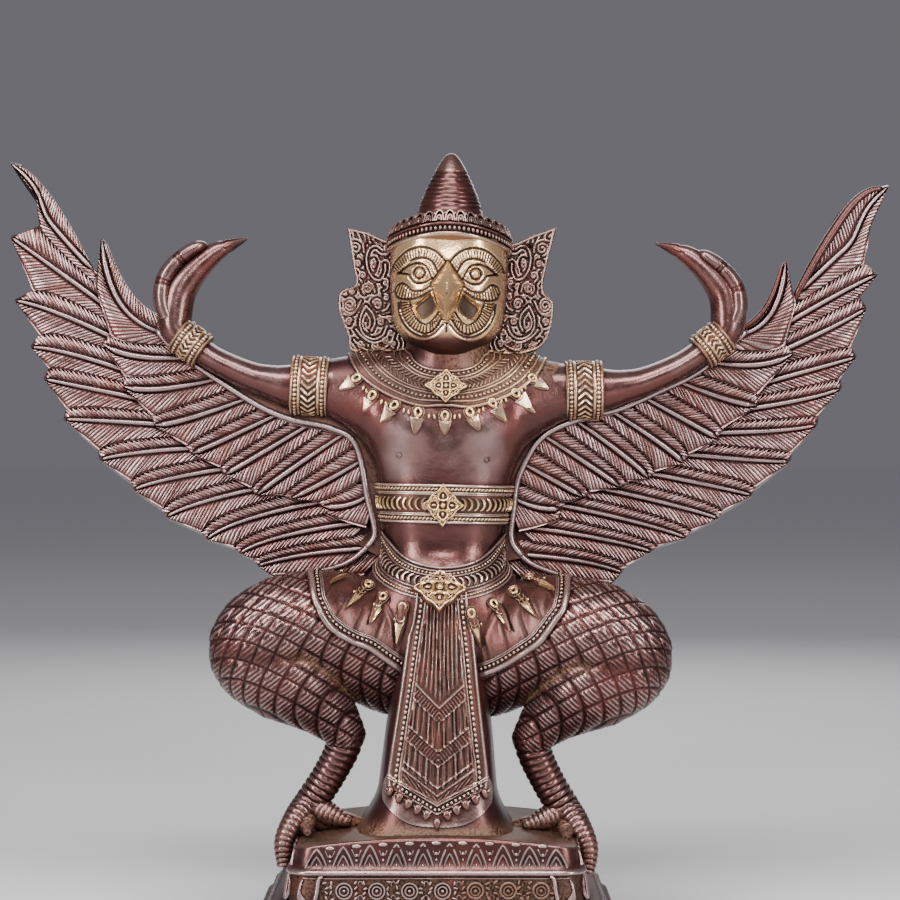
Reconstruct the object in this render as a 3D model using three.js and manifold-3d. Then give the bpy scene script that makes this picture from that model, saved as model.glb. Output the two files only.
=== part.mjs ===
// A cast bronze garuda with spread wings, squatting on its own low plinth.
// Millimetres, +Z up. X runs to the viewer's right and the figure faces -Y.
// The origin is the centre of the plinth's underside.

import * as THREE from 'three';
import { mergeVertices } from 'three/addons/utils/BufferGeometryUtils.js';
import Module from 'manifold-3d';

const wasm = await Module();
wasm.setup();

// Driving dimensions of the plinth
const PLINTH_HEIGHT = 78;
const PLINTH_TOP_WIDTH = 202;
const PLINTH_TOP_DEPTH = 150;
const PLINTH_TOP_ARCH = 8;
const PLINTH_FOOT_SPREAD = 32;
const PLINTH_FOOT_HEIGHT = 12;
const PLINTH_CORNER_RADIUS = 14;
const PETAL_BAND_HEIGHT = 14;
const PETAL_COUNT = 11;
const PETAL_RELIEF = 1.6;
const MOULDING_RADIUS = 2.6;
const FRIEZE_HEIGHT = 20;
const FRIEZE_WIDTH = 176;
const ROSETTE_RADIUS = 7;
const ROSETTE_COUNT = 7;

// Driving dimensions of the figure
const FIGURE_HEIGHT = 498.5;
const LEAN = THREE.MathUtils.degToRad(1.25);
const SEAT_GAP = 0.3;
const WING_THICKNESS = 12;
const FEATHER_RELIEF = 3;
const TIER_STEP = 4;
const RIM_RADIUS = 2.8;
const TOE_RADIUS = 7;
const EAR_THICKNESS = 11;
const ORNAMENT_RELIEF = 3;

// The figure's places are written as drawn at this seat and crown height, and follow FIGURE_HEIGHT.
const DRAWN_SEAT = 78;
const DRAWN_CROWN = 576.5;
const UNIT = FIGURE_HEIGHT / (DRAWN_CROWN - DRAWN_SEAT);

const at = (x, y, z) => new THREE.Vector3(x, y, z - DRAWN_SEAT).multiplyScalar(UNIT);

// Places of each side, as [x, z] seen from the front, from the wrist down to the waist.
// An arm's stations go on with the hand, as [x, z, radius seen from the front, radius in depth].
const SIDES = {
  left: {
    sign: -1,
    arm: [[-60, 397, 26, 24], [-88.5, 400.3, 20, 20], [-89, 400.3, 21.6, 21.6], [-115.3, 400.6, 21.6, 21.6],
      [-115.8, 400.6, 15, 16], [-133, 403.5, 12, 15], [-148, 407.5, 10.5, 14], [-171, 417.5, 9.5, 13.5],
      [-181.5, 423.8, 9, 13], [-182, 424, 10.5, 14.5], [-202, 439, 11, 14.5], [-202.5, 439.5, 12.6, 13],
      [-204, 451, 13.4, 13], [-201, 469, 13, 12], [-190, 485, 10.5, 10], [-176, 498, 8, 7.6],
      [-165, 504, 5.4, 5], [-151, 510, 0.8, 0.8]],
    finger: [[-211, 459], [-210, 478], [-201, 491], [-190, 500]],
    rim: [[-219, 441], [-200, 423], [-147, 389], [-117, 376], [-87, 370], [-67, 358], [-57, 318],
      [-51, 292], [-58, 280]],
    outerTips: [[-334, 565], [-332, 509], [-328, 461], [-315, 426], [-304, 402], [-288, 372],
      [-260, 342], [-234, 320], [-209, 300], [-178, 284], [-153, 274], [-139, 265]],
    leadBend: [-300, 548],
    leadHollow: 9,
    leadNotch: 20,
    outerRoots: [[-268, 482], [-247, 420], [-234, 384], [-191, 350], [-150, 325], [-98, 311], [-72, 300]],
    outerBends: [[-304, 518], [-291, 435], [-271, 385], [-225, 337], [-179, 308], [-126, 285], [-105, 277]],
    innerTips: [[-262, 509], [-260, 430], [-244, 398], [-220, 369], [-191, 348], [-165, 333],
      [-141, 318], [-115, 316], [-91, 311]],
    innerBends: [[-256, 440], [-228, 397], [-197, 365], [-150, 343], [-97, 331], [-68, 308]],
    ear: [[-34, 424], [-47, 424], [-71, 427], [-75, 440], [-82, 458], [-81, 472], [-70, 478], [-72, 492],
      [-77, 520], [-62, 517], [-48, 511], [-34, 508]],
  },
  right: {
    sign: 1,
    arm: [[60, 398, 26, 24], [88.5, 401.5, 20, 20], [89, 401.5, 21.6, 21.6], [117, 402.5, 21.6, 21.6],
      [117.5, 402.7, 15, 16], [133, 405.5, 12.3, 15], [148, 409.5, 10.7, 14], [171, 420, 9.7, 13.5],
      [186, 429.5, 9.1, 13], [186.5, 430, 10.5, 14.5], [206, 446, 11, 14.5], [206.5, 446.5, 12.6, 13],
      [209, 457, 13.4, 13], [207, 475, 13, 12], [196, 490, 10.5, 10], [182, 502, 8, 7.6],
      [170, 508, 5.4, 5], [154, 513, 0.8, 0.8]],
    finger: [[215, 463], [212, 481], [203, 493], [192, 501]],
    rim: [[225, 450], [190, 419], [160, 403], [130, 389], [101, 381], [72, 366], [56, 338],
      [52, 311], [51, 289], [60, 276]],
    outerTips: [[331, 562], [324, 495], [316, 469], [309, 432], [298, 408], [280, 380],
      [260, 352], [232, 326], [207, 308], [183, 293], [157, 282], [135, 266]],
    leadBend: [296, 562],
    leadHollow: 4,
    leadNotch: 9,
    outerRoots: [[268, 482], [250, 424], [232, 384], [190, 350], [150, 327], [98, 311], [72, 300]],
    outerBends: [[302, 512], [288, 437], [268, 390], [225, 343], [182, 314], [126, 288], [105, 277]],
    innerTips: [[253, 503], [261, 434], [235, 394], [205, 368], [179, 349], [153, 337], [132, 330],
      [104, 322], [87, 313]],
    innerBends: [[250, 443], [226, 400], [197, 370], [150, 350], [97, 336], [68, 310]],
    ear: [[34, 426], [51, 426], [68, 432], [76, 443], [79, 466], [71, 477], [74, 498], [80, 524],
      [64, 518], [49, 511], [34, 508]],
  },
};

// Turns a closed geometry into a solid, faces out
function solid(geometry) {
  const bare = geometry.index ? geometry.toNonIndexed() : geometry.clone();
  bare.deleteAttribute('normal');
  bare.deleteAttribute('uv');
  const merged = mergeVertices(bare, 1e-4);
  const corners = merged.index.array;
  const kept = [];
  for (let i = 0; i < corners.length; i += 3) {
    const [a, b, c] = [corners[i], corners[i + 1], corners[i + 2]];
    if (a !== b && b !== c && c !== a) kept.push(a, b, c);
  }
  if (signedVolume(merged.attributes.position, kept) < 0) kept.reverse();
  return new wasm.Manifold(new wasm.Mesh({
    numProp: 3,
    vertProperties: new Float32Array(merged.attributes.position.array),
    triVerts: new Uint32Array(kept),
  }));
}

function signedVolume(position, corners) {
  const [a, b, c] = [new THREE.Vector3(), new THREE.Vector3(), new THREE.Vector3()];
  let sum = 0;
  for (let i = 0; i < corners.length; i += 3) {
    a.fromBufferAttribute(position, corners[i]);
    b.fromBufferAttribute(position, corners[i + 1]);
    c.fromBufferAttribute(position, corners[i + 2]);
    sum += a.dot(b.cross(c));
  }
  return sum;
}

function join(solids) {
  return solids.reduce((whole, next) => whole.add(next));
}

// The corners of the skins that enclose metal: a small pocket sealed between joined forms is cast solid
function outerSkins(position, corners) {
  const parent = Array.from({ length: position.count }, (_, i) => i);
  const find = (i) => {
    let root = i;
    while (parent[root] !== root) root = parent[root];
    parent[i] = root;
    return root;
  };
  for (let i = 0; i < corners.length; i += 3) {
    parent[find(corners[i + 1])] = find(corners[i]);
    parent[find(corners[i + 2])] = find(corners[i]);
  }
  const skins = new Map();
  for (let i = 0; i < corners.length; i += 3) {
    const root = find(corners[i]);
    if (!skins.has(root)) skins.set(root, []);
    skins.get(root).push(corners[i], corners[i + 1], corners[i + 2]);
  }
  return [...skins.values()].filter((skin) => signedVolume(position, skin) > 0).flat();
}

function geometryOf(manifold) {
  const mesh = manifold.getMesh();
  const geometry = new THREE.BufferGeometry();
  const position = new THREE.BufferAttribute(mesh.vertProperties, 3);
  geometry.setAttribute('position', position);
  geometry.setIndex(outerSkins(position, mesh.triVerts));
  geometry.computeVertexNormals();
  return geometry;
}

function fromTriangles(triangles) {
  const geometry = new THREE.BufferGeometry();
  const flat = triangles.flat().flatMap((p) => [p.x, p.y, p.z]);
  geometry.setAttribute('position', new THREE.Float32BufferAttribute(flat, 3));
  return geometry;
}

// A skin through rings of equally many points, with its two ends closed
function loft(rings) {
  const triangles = [];
  const count = rings[0].length;
  for (let r = 0; r + 1 < rings.length; r += 1) {
    for (let i = 0; i < count; i += 1) {
      const j = (i + 1) % count;
      triangles.push([rings[r][i], rings[r][j], rings[r + 1][j]]);
      triangles.push([rings[r][i], rings[r + 1][j], rings[r + 1][i]]);
    }
  }
  const first = rings[0];
  const last = rings[rings.length - 1];
  for (let i = 1; i + 1 < count; i += 1) {
    triangles.push([first[0], first[i + 1], first[i]]);
    triangles.push([last[0], last[i], last[i + 1]]);
  }
  return solid(fromTriangles(triangles));
}

// A level ring of a body section: squareness 2 is an ellipse, more is boxier
const BODY_SQUARENESS = 2.3;

function section({ z, half, front, back, square = BODY_SQUARENESS }, grow, sides) {
  const ring = [];
  for (let i = 0; i < sides; i += 1) {
    const angle = (2 * Math.PI * (i + 0.5)) / sides;
    const [c, s] = [Math.cos(angle), Math.sin(angle)];
    const x = Math.sign(c) * Math.abs(c) ** (2 / square);
    const y = Math.sign(s) * Math.abs(s) ** (2 / square);
    const reach = y < 0 ? -front : back;
    ring.push(at(x * (half + grow), y * (reach + grow), z));
  }
  return ring;
}

const column = (sections, grow = 0, sides = 14) => loft(sections.map((s) => section(s, grow, sides)));

// The depth of a column's front skin at a place seen from the front
function columnDepth(sections, x, z) {
  const above = Math.max(1, sections.findIndex((ring) => ring.z >= z));
  const [low, high] = [sections[above - 1], sections[above]];
  const share = THREE.MathUtils.clamp((z - low.z) / (high.z - low.z), 0, 1);
  const half = THREE.MathUtils.lerp(low.half, high.half, share);
  const front = THREE.MathUtils.lerp(low.front, high.front, share);
  const square = low.square ?? BODY_SQUARENESS;
  return front * (1 - Math.min(1, Math.abs(x) / half) ** square) ** (1 / square);
}

// A bar along points. Each has a radius, or a pair: seen from the front, and in depth.
function bar(points, radii, sides = 8) {
  const rings = points.map((point, i) => {
    const before = points[Math.max(i - 1, 0)];
    const after = points[Math.min(i + 1, points.length - 1)];
    const along = after.clone().sub(before).normalize();
    const hint = Math.abs(along.y) > 0.9 ? new THREE.Vector3(0, 0, 1) : new THREE.Vector3(0, 1, 0);
    const across = hint.clone().cross(along).normalize();
    const up = along.clone().cross(across);
    const [wide, deep] = [radii[i]].flat().length > 1 ? radii[i] : [radii[i], radii[i]];
    return Array.from({ length: sides }, (_, k) => {
      const angle = (2 * Math.PI * (k + 0.5)) / sides;
      return point.clone()
        .addScaledVector(across, wide * Math.cos(angle))
        .addScaledVector(up, deep * Math.sin(angle));
    });
  });
  return loft(rings);
}

// A block with an outline seen from the front, between two depths
function frontBlock(outline, nearY, farY) {
  const shape = new THREE.Shape(outline.map(([x, z]) => new THREE.Vector2(x, z)));
  const geometry = new THREE.ExtrudeGeometry(shape, { depth: farY - nearY, bevelEnabled: false });
  geometry.rotateX(Math.PI / 2);
  geometry.translate(0, farY, 0);
  return solid(geometry);
}

const drawn = ([x, z]) => [x * UNIT, (z - DRAWN_SEAT) * UNIT];
const figureBlock = (outline, nearY, farY) => frontBlock(outline.map(drawn), nearY * UNIT, farY * UNIT);

function ball(centre, radii, across = 8, down = 6) {
  const geometry = new THREE.SphereGeometry(1, across, down);
  geometry.rotateX(Math.PI / 2);
  geometry.scale(...radii.map((r) => r * UNIT));
  geometry.translate(centre.x, centre.y, centre.z);
  return solid(geometry);
}

// Wings
const flat = ([x, z]) => new THREE.Vector2(x, z);
const smooth = (points) => new THREE.SplineCurve(points.map(flat));
const bend = (a, b, c) => new THREE.QuadraticBezierCurve(a, b, c);
const middle = (a, b) => a.clone().add(b).multiplyScalar(0.5);
const wingSweep = (x) => 0.05 * (Math.abs(x) - 60);

// Where the outline steps in between a feather's tip and the next one down
function notch(tip, next, sign, depth) {
  const along = tip.clone().sub(next).normalize();
  const inward = new THREE.Vector2(-along.y, along.x).multiplyScalar(sign);
  return next.clone().addScaledVector(along, 6).addScaledVector(inward, depth);
}

// The ridges and valleys of one tier of feathers, from its leading to its trailing edge
function featherLines({ tips, roots, bends, sign, rootSpan, lead, trail, hollow, deepest }) {
  const points = tips.map(flat);
  const last = points.length - 1;
  const place = (curve, i) => curve.getPointAt(THREE.MathUtils.clamp(i / last, 0, 1));
  const rootAt = (i) => roots.getPointAt(THREE.MathUtils.lerp(rootSpan[0], rootSpan[1], i / last));
  const lines = [{ path: bend(...lead.map(flat)), ridge: false }];
  points.forEach((tip, i) => {
    lines.push({ path: bend(rootAt(i), place(bends, i), tip), ridge: true });
    if (i === last) return;
    const root = rootAt(i + 0.5);
    const turn = place(bends, i + 0.5);
    const end = notch(tip, points[i + 1], sign, 2 + deepest * 0.6 ** i);
    if (i === 0) {
      const edge = middle(tip, end).add(new THREE.Vector2(-sign * hollow, 0));
      lines.push({ path: bend(rootAt(0.25), middle(place(bends, 0), turn), edge), ridge: false, half: true });
    }
    lines.push({ path: bend(root, turn, end), ridge: false });
  });
  lines.push({ path: bend(...trail.map(flat)), ridge: false });
  return lines;
}

// A plate whose front carries the ridges, with a flat back
function featherPlate(lines, rows, front, back) {
  const grid = lines.map(({ path, ridge, half }) => Array.from({ length: rows + 1 }, (_, j) => {
    const p = path.getPoint(j / rows);
    const rise = (ridge ? 1 : 0) + (half ? 0.4 : 0);
    const face = at(p.x, 0, p.y);
    const rear = face.clone();
    face.y = front + wingSweep(p.x) * UNIT - rise * FEATHER_RELIEF;
    rear.y = back + wingSweep(p.x) * UNIT;
    return { face, rear };
  }));
  const triangles = [];
  const quad = (a, b, c, d) => triangles.push([a, b, c], [a, c, d]);
  for (let i = 0; i + 1 < grid.length; i += 1) {
    for (let j = 0; j < rows; j += 1) {
      quad(grid[i][j].face, grid[i + 1][j].face, grid[i + 1][j + 1].face, grid[i][j + 1].face);
    }
  }
  const ends = grid.length - 1;
  const rim = [
    ...grid.map((line) => line[0]),
    ...grid[ends].slice(1, rows),
    ...grid.map((line) => line[rows]).reverse(),
    ...grid[0].slice(1, rows).reverse(),
  ];
  rim.forEach((spot, i) => {
    const next = rim[(i + 1) % rim.length];
    quad(next.face, spot.face, spot.rear, next.rear);
  });
  const outline = rim.map(({ rear }) => new THREE.Vector2(rear.x, rear.z));
  for (const [a, b, c] of THREE.ShapeUtils.triangulateShape(outline, [])) {
    const flipped = THREE.ShapeUtils.area(outline) > 0;
    triangles.push((flipped ? [a, c, b] : [a, b, c]).map((k) => rim[k].rear));
  }
  return solid(fromTriangles(triangles));
}

// How far the outer feathers' roots reach from the inner tips' line towards the rim, as a share
const ROOT_TUCK = 0.45;

function wing(side) {
  const { sign, rim, outerTips, outerRoots, outerBends, innerTips, innerBends } = side;
  const { leadBend, leadHollow, leadNotch } = side;
  const rimCurve = smooth(rim);
  const inner = featherLines({
    tips: innerTips,
    roots: smooth(rim.map(([x, z]) => [x - sign * 7, z + 7])),
    bends: smooth(innerBends),
    sign,
    rootSpan: [0.06, 0.84],
    lead: [[sign * 207, 449], [sign * 239, 451], [innerTips[0][0] - sign * 4, innerTips[0][1] - 5]],
    trail: [[sign * 44, 270], [sign * 64, 284], [sign * 86, 303]],
    hollow: -8,
    deepest: 4,
  });
  const outer = featherLines({
    tips: outerTips,
    roots: smooth(outerRoots.map(([x, z], i) => {
      const toRim = rimCurve.getPointAt(i / (outerRoots.length - 1)).sub(flat([x, z]));
      return [x + ROOT_TUCK * toRim.x, z + ROOT_TUCK * toRim.y];
    })),
    bends: smooth(outerBends),
    sign,
    rootSpan: [0, 1],
    lead: [[sign * 254, 458], leadBend, [outerTips[0][0] - sign * 8, outerTips[0][1] - 2]],
    trail: [[sign * 44, 262], [sign * 95, 254], [sign * 128, 257]],
    hollow: leadHollow,
    deepest: leadNotch,
  });
  const back = WING_THICKNESS;
  const rimRise = TIER_STEP + 0.8 * RIM_RADIUS;
  const rimPoints = rimCurve.getSpacedPoints(12).map((p) => {
    const spot = at(p.x, wingSweep(p.x), p.y);
    spot.y -= rimRise;
    return spot;
  });
  return [
    featherPlate(outer, 4, 0, back),
    featherPlate(inner, 3, -TIER_STEP, back - TIER_STEP / 2),
    bar(rimPoints, rimPoints.map(() => RIM_RADIUS), 5),
  ];
}

// Arms
const ARM_DEPTH = -5;
const FINGER_STANDS_OUT = 5;
const FINGER_RADII = [4, 5, 4.6, 3.4];

function arm({ arm: stations, finger }) {
  const whole = bar(
    stations.map(([x, z]) => at(x, ARM_DEPTH, z)),
    stations.map(([, , wide, deep]) => [wide * UNIT, deep * UNIT]),
  );
  const knuckles = finger.map(([x, z]) => at(x, ARM_DEPTH - FINGER_STANDS_OUT, z));
  return [whole, bar(knuckles, FINGER_RADII.map((r) => r * UNIT), 5)];
}

// Body
const TORSO = [
  { z: 190, half: 36, front: -44, back: 26 },
  { z: 215, half: 54, front: -48, back: 34 },
  { z: 240, half: 62, front: -49, back: 38 },
  { z: 260, half: 56, front: -44, back: 36 },
  { z: 275, half: 47, front: -37, back: 30 },
  { z: 285, half: 45.5, front: -35, back: 28 },
  { z: 305, half: 52, front: -36, back: 29 },
  { z: 345, half: 58, front: -38, back: 31 },
  { z: 360, half: 65, front: -39, back: 32 },
  { z: 378, half: 82, front: -38, back: 33 },
  { z: 395, half: 91, front: -36, back: 33 },
  { z: 417, half: 85, front: -28, back: 28 },
  { z: 426, half: 62, front: -19, back: 22 },
];
const SUPPORT_SETBACK = 5;
const footFront = (setback) => (setback - PLINTH_TOP_DEPTH / 2) / UNIT;
const SUPPORT = [
  { z: 66, half: 64, front: footFront(SUPPORT_SETBACK), back: 56, square: 4 },
  { z: 84, half: 51, front: footFront(SUPPORT_SETBACK + 7), back: 44, square: 4 },
  { z: 100, half: 44, front: -60, back: 34, square: 4 },
  { z: 122, half: 38, front: -58, back: 27, square: 4 },
  { z: 150, half: 33, front: -56, back: 22, square: 4 },
  { z: 200, half: 29, front: -52, back: 22, square: 4 },
  { z: 250, half: 26, front: -45, back: 20, square: 4 },
];
const THIGH = [[-34, 6, 200], [-72, -10, 219], [-112, -30, 230], [-138, -42, 220], [-158, -51, 209]];
const THIGH_RADII = [45, 45, 35, 32, 18];
const CALF = [[-168, -50, 213], [-159, -50, 211], [-139, -50, 205], [-116, -48, 192], [-92, -34, 173],
  [-70, -17, 146]];
const CALF_RADII = [14, 27, 37, 37, 27, 13];
const SHANK = [[-69, -17, 154], [-74, -16, 130], [-86, -13, 107], [-97, -11, 86]];
const SHANK_RADII = [13.5, 11.5, 10.5, 12];
const SHANK_RINGS = 7;

const limb = (points, radii, sign, grow = 0, sides = 10) => bar(
  points.map(([x, y, z]) => at(-sign * x, y, z)),
  radii.map((r) => (r + grow) * UNIT),
  sides,
);

// A strip seen from the front between two bowed lines, as an outline
function bowedBand(halfWidth, topEnd, topMiddle, lowEnd, lowMiddle, steps = 6) {
  const line = (end, mid) => Array.from({ length: steps + 1 }, (_, i) => {
    const x = halfWidth * ((2 * i) / steps - 1);
    return [x, mid + (end - mid) * (x / halfWidth) ** 2];
  });
  return [...line(lowEnd, lowMiddle), ...line(topEnd, topMiddle).reverse()];
}

const diamond = (x, z, halfWidth, halfHeight) => [
  [x - halfWidth, z], [x, z - halfHeight], [x + halfWidth, z], [x, z + halfHeight],
];

// A pendant spike: a kite that points away from the body's middle
function pendant(x, z, angle, length, width) {
  const [dx, dz] = [Math.sin(angle), -Math.cos(angle)];
  const spot = (along, across) => [x + dx * along - dz * across, z + dz * along + dx * across];
  return [spot(-0.2 * length, 0), spot(0.4 * length, 0.5 * width), spot(length, 0),
    spot(0.4 * length, -0.5 * width)];
}

function torsoAndBelts() {
  const relief = ORNAMENT_RELIEF / UNIT;
  const chestSkin = column(TORSO, relief);
  const hipSkin = column(TORSO, relief + 1.5);
  const parts = [column(TORSO), column(SUPPORT)];
  parts.push(chestSkin.intersect(figureBlock(bowedBand(70, 330, 330, 302, 302, 2), -60, 60)));
  parts.push(column(TORSO, 2 * relief).intersect(figureBlock(diamond(-0.5, 315, 15, 16), -60, 0)));
  parts.push(hipSkin.intersect(figureBlock(bowedBand(64, 291, 270, 273, 246), -70, 60)));
  parts.push(column(TORSO, 3 * relief).intersect(figureBlock(diamond(-2, 253, 20, 20), -70, 0)));
  for (let i = 0; i < 9; i += 1) {
    const share = (i - 4) / 4;
    const x = 62 * Math.sin(share * 1.35) / Math.sin(1.35);
    const z = 384 + 24 * share ** 2;
    const skin = columnDepth(TORSO, x, z - 8);
    parts.push(figureBlock(pendant(x, z, share * 0.95, 17, 12), skin - relief - 1, skin + 12));
  }
  return parts;
}

// The collar lies round the neck and dips over the chest
function collar() {
  const steps = 14;
  const triangles = [];
  const rings = Array.from({ length: steps }, (_, i) => {
    const angle = (2 * Math.PI * i) / steps;
    const forward = Math.max(0, -Math.sin(angle));
    const drop = 24 * forward ** 1.5;
    const spot = (out, lift) => at(
      (34 + out) * Math.cos(angle),
      (20 + (out * 0.75)) * Math.sin(angle),
      429 - 0.22 * out - drop * (0.55 + out / 60) + lift,
    );
    return [spot(-7, -12), spot(31, -13), spot(34, -3), spot(16, 2), spot(-7, 2)];
  });
  rings.forEach((ring, i) => {
    const next = rings[(i + 1) % steps];
    ring.forEach((point, j) => {
      const k = (j + 1) % ring.length;
      triangles.push([point, next[j], next[k]], [point, next[k], ring[k]]);
    });
  });
  return solid(fromTriangles(triangles));
}

// The shank's path and radii, swelling and narrowing for its scaly rings
function ringedShank() {
  const path = new THREE.CatmullRomCurve3(SHANK.map((p) => new THREE.Vector3(...p)));
  const count = 2 * SHANK_RINGS;
  const points = path.getPoints(count).map((p) => p.toArray());
  const radii = points.map((_, i) => {
    const place = (i / count) * (SHANK_RADII.length - 1);
    const k = Math.min(Math.floor(place), SHANK_RADII.length - 2);
    const radius = THREE.MathUtils.lerp(SHANK_RADII[k], SHANK_RADII[k + 1], place - k);
    return radius + (i % 2 ? 0.9 : -0.4);
  });
  return [points, radii];
}

function leg(sign) {
  const bare = [
    limb(THIGH, THIGH_RADII, sign),
    limb(CALF, CALF_RADII, sign),
    limb(...ringedShank(), sign, 0, 6),
  ];
  const skin = join([column(TORSO, 4.5), limb(THIGH, THIGH_RADII, sign, 3)]);
  const flap = [[14, 246], [60, 276], [95, 268], [92, 245], [81, 227], [66, 216], [52, 210], [28, 192]];
  bare.push(skin.intersect(figureBlock(flap.map(([x, z]) => [sign * x, z]), -110, -20)));
  for (let i = 0; i < 4; i += 1) {
    const angle = sign * (1.25 - 0.34 * i);
    const spike = pendant(sign * (65 - 13 * i), 263 - 8 * i, angle, 24, 11);
    const nearest = Math.min(columnDepth(TORSO, 50 - 11 * i, 252 - 10 * i), -44);
    bare.push(figureBlock(spike, nearest - 6, nearest + 14));
  }
  return bare;
}

function sash() {
  const outline = [[-18, 250], [-26, 181], [-34, 120], [-33, 112], [0, 90], [33, 112], [34, 120],
    [26, 181], [18, 250]];
  const border = [[-13, 250], [-21, 181], [-28, 124], [0, 102], [28, 124], [21, 181], [13, 250]];
  const skin = column(SUPPORT, 3.5);
  const raised = column(SUPPORT, 5.5).intersect(figureBlock(outline, -90, -20));
  const parts = [skin.intersect(figureBlock(outline, -90, -20))];
  parts.push(raised.subtract(figureBlock(border, -90, 20)));
  for (let i = 0; i < 3; i += 1) {
    const z = 165 - 22 * i;
    const half = 24 + 2.2 * i;
    const chevron = [[-half, z + 14], [0, z], [half, z + 14], [half, z + 19], [0, z + 5], [-half, z + 19]];
    parts.push(column(SUPPORT, 4.7).intersect(figureBlock(chevron, -90, -20)));
  }
  return parts;
}

// Head
const SKULL = [
  { z: 420, half: 26, front: -30, back: 24 },
  { z: 428, half: 33, front: -42, back: 28 },
  { z: 437, half: 39, front: -50, back: 31 },
  { z: 450, half: 42.5, front: -53, back: 34 },
  { z: 475, half: 44, front: -54, back: 36 },
  { z: 495, half: 44.5, front: -53, back: 36 },
  { z: 512, half: 43, front: -48, back: 34 },
].map((ring) => ({ ...ring, square: 2.7 }));
const CROWN_CENTRE_DEPTH = -8;
const CROWN = [[0, 498], [44, 498], [47.5, 503], [46, 510], [47, 514], [41, 522], [24.5, 529.5],
  [21.5, 541], [17, 552], [11.3, 563], [6, 572], [0, 576.5]];

function crown() {
  const profile = CROWN.map(([r, z]) => new THREE.Vector2(r * UNIT, (z - DRAWN_SEAT) * UNIT));
  const geometry = new THREE.LatheGeometry(profile, 14);
  geometry.rotateX(Math.PI / 2);
  geometry.translate(0, CROWN_CENTRE_DEPTH * UNIT, 0);
  return solid(geometry);
}

// The hooked beak: a ridge between two side edges, from the brow down to the point
function beak() {
  const rooted = -44;
  const rings = [[495, 2, 50, 52], [488, 7, 51, 60], [477, 13, 52, 68], [466, 10, 52, 75],
    [456, 6, 54, 78], [448, 1.5, 70, 77]].map(([z, half, side, ridge]) => [
    at(-half, -side, z),
    at(0, -ridge, z - 2),
    at(half, -side, z),
    at(half * 0.6, rooted, z),
    at(-half * 0.6, rooted, z),
  ]);
  return loft(rings);
}

function face() {
  const parts = [beak()];
  for (const sign of [-1, 1]) {
    const line = (points, radius) => bar(
      points.map(([x, y, z]) => at(sign * x, y, z)),
      points.map(() => radius * UNIT),
      5,
    );
    parts.push(line([[2, -52, 493], [10, -52, 500], [22, -50, 503], [33, -44, 500], [41, -36, 491]], 2.6));
    parts.push(ball(at(sign * 20.5, -47, 485), [8.5, 7, 7], 8, 4));
    parts.push(ball(at(sign * 20.5, -50, 485), [4.2, 6.5, 4.2], 6, 4));
    parts.push(line([[13, -52, 473], [22, -51, 470], [32, -46, 473], [40, -37, 478]], 2.6));
    parts.push(line([[39, -38, 462], [33, -45, 449], [24, -50, 441], [12, -53, 439], [3, -52, 446]], 2.8));
  }
  return parts;
}

function ear({ ear: outline, sign }) {
  const near = -2;
  const far = near + EAR_THICKNESS / UNIT;
  const bosses = [[57, 497, 10], [70, 461, 8], [60, 441, 9]];
  const knobs = bosses.map(([x, z, r]) => ball(at(sign * x, near, z), [r, 3, r * 1.15], 7, 4));
  return [figureBlock(outline, near, far), ...knobs];
}

// Plinth
const topEdge = PLINTH_HEIGHT - PLINTH_TOP_ARCH;
const bandFoot = topEdge - PETAL_BAND_HEIGHT;
const friezeTop = bandFoot - 2 * MOULDING_RADIUS;
const friezeFoot = friezeTop - FRIEZE_HEIGHT;

// Each step of the plinth's side, as height and how far it stands out from the top's edge
function plinthSteps() {
  const spread = PLINTH_FOOT_SPREAD;
  const belt = (friezeFoot - PLINTH_FOOT_HEIGHT) / 3;
  return [
    [0, spread],
    [PLINTH_FOOT_HEIGHT, spread],
    [PLINTH_FOOT_HEIGHT + 2, spread - 6],
    [friezeFoot - 2 * belt, spread * 0.7],
    [friezeFoot - belt, spread * 0.72],
    [friezeFoot - 1, spread * 0.6],
    [friezeFoot, 7],
    [friezeTop, 4],
    [friezeTop + 0.4 * MOULDING_RADIUS, 4 + 0.8 * MOULDING_RADIUS],
    [bandFoot - 0.4 * MOULDING_RADIUS, 4 + 0.8 * MOULDING_RADIUS],
    [bandFoot, 3],
    [topEdge, 0],
    [PLINTH_HEIGHT + 2, 0],
  ];
}

function roundedRing(halfWidth, halfDepth, radius, z) {
  const ring = [];
  const perCorner = 3;
  for (let corner = 0; corner < 4; corner += 1) {
    const [sx, sy] = [[1, 1], [-1, 1], [-1, -1], [1, -1]][corner];
    for (let i = 0; i < perCorner; i += 1) {
      const angle = (Math.PI / 2) * (corner + i / (perCorner - 1));
      ring.push(new THREE.Vector3(
        sx * (halfWidth - radius) + radius * Math.cos(angle),
        sy * (halfDepth - radius) + radius * Math.sin(angle),
        z,
      ));
    }
  }
  return ring;
}

function plinthCore(grow) {
  const [halfWidth, halfDepth] = [PLINTH_TOP_WIDTH / 2, PLINTH_TOP_DEPTH / 2];
  const walls = loft(plinthSteps().map(([z, out]) => roundedRing(
    halfWidth + out + grow,
    halfDepth + out + grow,
    PLINTH_CORNER_RADIUS + grow,
    z + (z > topEdge ? grow : 0),
  )));
  const reach = halfWidth + PLINTH_FOOT_SPREAD + 10;
  const steps = 10;
  const arch = Array.from({ length: steps + 1 }, (_, i) => {
    const x = reach - (2 * reach * i) / steps;
    const fall = PLINTH_TOP_ARCH * Math.min(1, Math.abs(x) / halfWidth) ** 2;
    return [x, PLINTH_HEIGHT - fall + grow];
  });
  const vault = frontBlock([[-reach, -5], [reach, -5], ...arch], -reach, reach);
  return walls.intersect(vault);
}

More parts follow.
